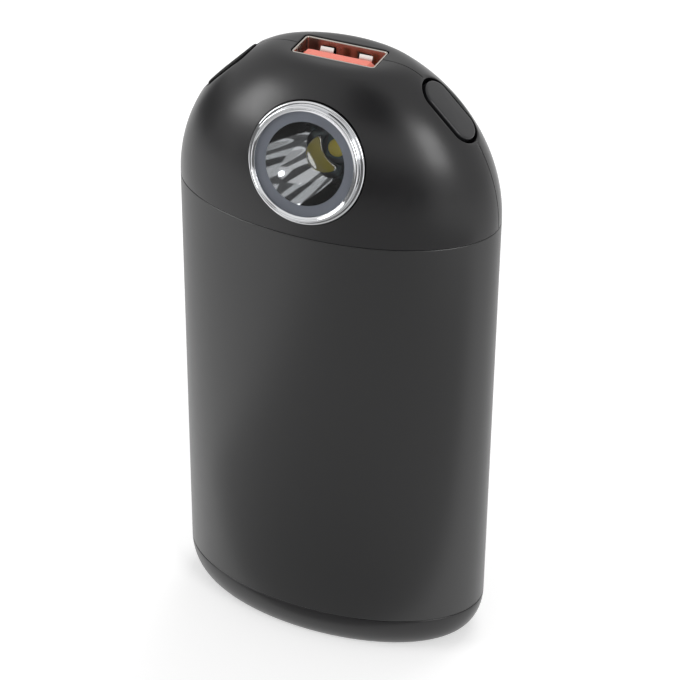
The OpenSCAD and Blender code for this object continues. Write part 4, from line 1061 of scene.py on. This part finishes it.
class WARMER_OT_studio(Operator):
    """Pale floor, boards for the mirrors, soft daylight, three soft boxes and the camera at the photograph's angle"""

    bl_idname = "warmer.studio"
    bl_label = "Studio"

    def execute(self, context):
        scene, studio = context.scene, context.scene.warmer_studio
        scene.view_settings.view_transform = "Standard"
        self.floor(studio)
        self.screens()
        self.daylight(scene, studio)
        self.lamps()
        self.camera(scene, studio)
        return {"FINISHED"}

    def sheet(self, name, grid, material):
        """An open grid of points as an object."""
        mesh = bpy.data.meshes.new(name)
        mesh.from_pydata(grid.reshape(-1, 3), [], grid_quads(*grid.shape[:2]).reshape(-1, 4))
        mesh.materials.append(material)
        obj = bpy.data.objects.new(name, mesh)
        bpy.context.scene.collection.objects.link(obj)
        return obj

    def floor(self, studio):
        """A flat pale square under the object."""
        # Matt white studio board: it shows a little more light to the camera and in mirrors than falls on it
        paper = bpy.data.materials.new("studio_board")
        paper.use_nodes = True
        tree = paper.node_tree
        tree.nodes.clear()
        glow = add_node(tree, "ShaderNodeEmission", Color=(1, 1, 1, 1))
        strength = add_node(tree, "ShaderNodeMath", {"operation": "MULTIPLY"}, {0: seen_directly(tree)})
        strength.inputs[1].default_value = studio.floor_glow
        tree.links.new(strength.outputs[0], glow.inputs["Strength"])
        matt = add_node(tree, "ShaderNodeBsdfDiffuse", Color=(*[studio.floor_shade] * 3, 1))
        both = add_node(tree, "ShaderNodeAddShader", links={0: glow.outputs[0], 1: matt.outputs[0]})
        add_node(tree, "ShaderNodeOutputMaterial", links={"Surface": both.outputs[0]})
        reach = 2.5
        x, y = np.meshgrid(*[np.linspace(-reach, reach, 9)] * 2)
        self.sheet("floor", np.stack([x, y, x * 0], axis=-1), paper)

    def screens(self):
        """Boards that only mirrors see: a low grey screen bent round the front, (r sin a, -r cos a, z), a pale apron
        just above the floor, and a dark card high up in front, the same way on a sphere."""
        turns, radius, level = np.radians(np.linspace(-115, 42, 40)), 0.45, np.array([[0.001], [0.16]])
        bent = np.stack(np.broadcast_arrays(radius * np.sin(turns), -radius * np.cos(turns), level), axis=-1)
        self.board("screen", bent, shade=0.2)
        x, y = np.meshgrid(np.linspace(-0.055, 0.2, 5), np.linspace(-0.36, -0.017, 5))
        self.board("apron", np.stack([x, y, x * 0 + 0.2 * MM], axis=-1), shade=0.7)
        turns, rises = np.radians(np.meshgrid(np.linspace(-4, 38, 7), np.linspace(32, 64, 5)))
        radius, level = 0.55, 0.07
        card = [np.sin(turns) * np.cos(rises), -np.cos(turns) * np.cos(rises), np.sin(rises)]
        self.board("card", radius * np.stack(card, axis=-1) + (0, 0, level), shade=0.1)

    def board(self, name, grid, shade):
        """A board from rows of points, which only mirrors see."""
        # Felt or card: plain, matt grey
        matt = bpy.data.materials.new(f"studio_{name}")
        matt.use_nodes = True
        shader = next(n for n in matt.node_tree.nodes if n.type == "BSDF_PRINCIPLED")
        shader.inputs["Base Color"].default_value = (shade, shade, shade, 1)
        shader.inputs["Roughness"].default_value = 0.9
        board = self.sheet(name, grid, matt)
        board.visible_camera = board.visible_diffuse = board.visible_shadow = False

    def daylight(self, scene, studio):
        """A white room: full white to the camera and in mirrors, softer on rough surfaces."""
        world = bpy.data.worlds.new("white_room")
        scene.world = world
        world.use_nodes = True
        tree = world.node_tree
        tree.nodes.clear()
        room = add_node(tree, "ShaderNodeBackground", Color=(1, 1, 1, 1), Strength=studio.daylight)
        white = add_node(tree, "ShaderNodeBackground", Color=(1, 1, 1, 1), Strength=1.0)
        mix = add_node(
            tree, "ShaderNodeMixShader", links={0: seen_directly(tree), 1: room.outputs[0], 2: white.outputs[0]}
        )
        add_node(tree, "ShaderNodeOutputWorld", links={"Surface": mix.outputs[0]})

    def lamps(self):
        """Soft boxes at the left, the right and above the back, each aimed at the object's upper half."""
        aim = Vector((0, 0, 0.06))
        # Each box's name, place, width and height, and power in watts
        boxes = [
            ("left_box", (-0.62, -0.41, 0.3), (0.28, 0.42), 2.2),
            ("right_box", (0.59, -0.385, 0.43), (0.26, 0.34), 1.85),
            ("back_box", (0.05, 0.4, 0.75), (0.45, 0.45), 1.8),
        ]
        for name, place, (wide, tall), power in boxes:
            light = bpy.data.lights.new(name, "AREA")
            light.shape, light.size, light.size_y, light.energy = "RECTANGLE", wide, tall, power
            lamp = bpy.data.objects.new(name, light)
            lamp.location = place
            lamp.rotation_euler = (aim - Vector(place)).to_track_quat("-Z", "Y").to_euler()
            lamp.visible_glossy = name != "back_box"
            bpy.context.scene.collection.objects.link(lamp)

    def camera(self, scene, studio):
        """The camera stands off from its aim along the azimuth and elevation, then rolls."""
        a, e = studio.azimuth, studio.elevation
        back = Vector((math.sin(a) * math.cos(e), -math.cos(a) * math.cos(e), math.sin(e)))
        right = Vector((math.cos(a), math.sin(a), 0))
        up = back.cross(right)
        rolled = right * math.cos(studio.roll) + up * math.sin(studio.roll)
        upward = up * math.cos(studio.roll) - right * math.sin(studio.roll)
        lens = bpy.data.cameras.new("camera")
        lens.sensor_width, lens.lens = SENSOR, studio.lens
        lens.clip_start, lens.clip_end = 0.01, 20.0
        camera = bpy.data.objects.new("camera", lens)
        turned = Matrix((rolled, upward, back)).transposed().to_4x4()
        aim = right * studio.aim_across + up * studio.aim_up
        camera.matrix_world = Matrix.Translation(aim + back * studio.distance) @ turned
        scene.collection.objects.link(camera)
        scene.camera = camera


def seen_directly(tree):
    """1 for rays from the camera and rays that a mirror or a lens sends on, else 0."""
    path = add_node(tree, "ShaderNodeLightPath")
    either = add_node(
        tree, "ShaderNodeMath", {"operation": "MAXIMUM"},
        {0: path.outputs["Is Camera Ray"], 1: path.outputs["Is Glossy Ray"]},
    )
    return add_node(
        tree, "ShaderNodeMath", {"operation": "MAXIMUM"},
        {0: either.outputs[0], 1: path.outputs["Is Transmission Ray"]},
    ).outputs[0]


PIECE_OPERATORS = (
    WARMER_OT_sleeve,
    WARMER_OT_end_cap,
    WARMER_OT_head,
    WARMER_OT_torch,
    WARMER_OT_output_socket,
    WARMER_OT_charging_socket,
    WARMER_OT_socket_cover,
    WARMER_OT_button,
    WARMER_OT_inner_pieces,
    WARMER_OT_studio,
)
GROUPS = {
    "warmer_body": WarmerBody,
    "warmer_torch": WarmerTorch,
    "warmer_sockets": WarmerSockets,
    "warmer_button": WarmerButton,
    "warmer_finishes": WarmerFinishes,
    "warmer_studio": WarmerStudio,
}


class WARMER_PT_panel(Panel):
    """Lists the sizes and the pieces in the sidebar"""

    bl_label = "Hand warmer"
    bl_idname = "WARMER_PT_panel"
    bl_space_type = "VIEW_3D"
    bl_region_type = "UI"
    bl_category = "Hand warmer"

    def draw(self, context):
        for step in PIECE_OPERATORS:
            self.layout.operator(step.bl_idname)
        for name, group in GROUPS.items():
            box = self.layout.box()
            box.label(text=group.__doc__)
            for key in group.__annotations__:
                box.prop(getattr(context.scene, name), key)


def register():
    """Registers the groups, the operators and the panel."""
    for name, group in GROUPS.items():
        bpy.utils.register_class(group)
        setattr(bpy.types.Scene, name, PointerProperty(type=group))
    for item in (*PIECE_OPERATORS, WARMER_PT_panel):
        bpy.utils.register_class(item)


def unregister():
    """Takes them away again, the last first."""
    for item in reversed((*PIECE_OPERATORS, WARMER_PT_panel)):
        bpy.utils.unregister_class(item)
    for name, group in reversed(GROUPS.items()):
        delattr(bpy.types.Scene, name)
        bpy.utils.unregister_class(group)


def main():
    """Registers the tools and builds every piece in order."""
    register()
    for step in PIECE_OPERATORS:
        group, name = step.bl_idname.split(".")
        getattr(getattr(bpy.ops, group), name)()


if __name__ == "__main__":
    main()
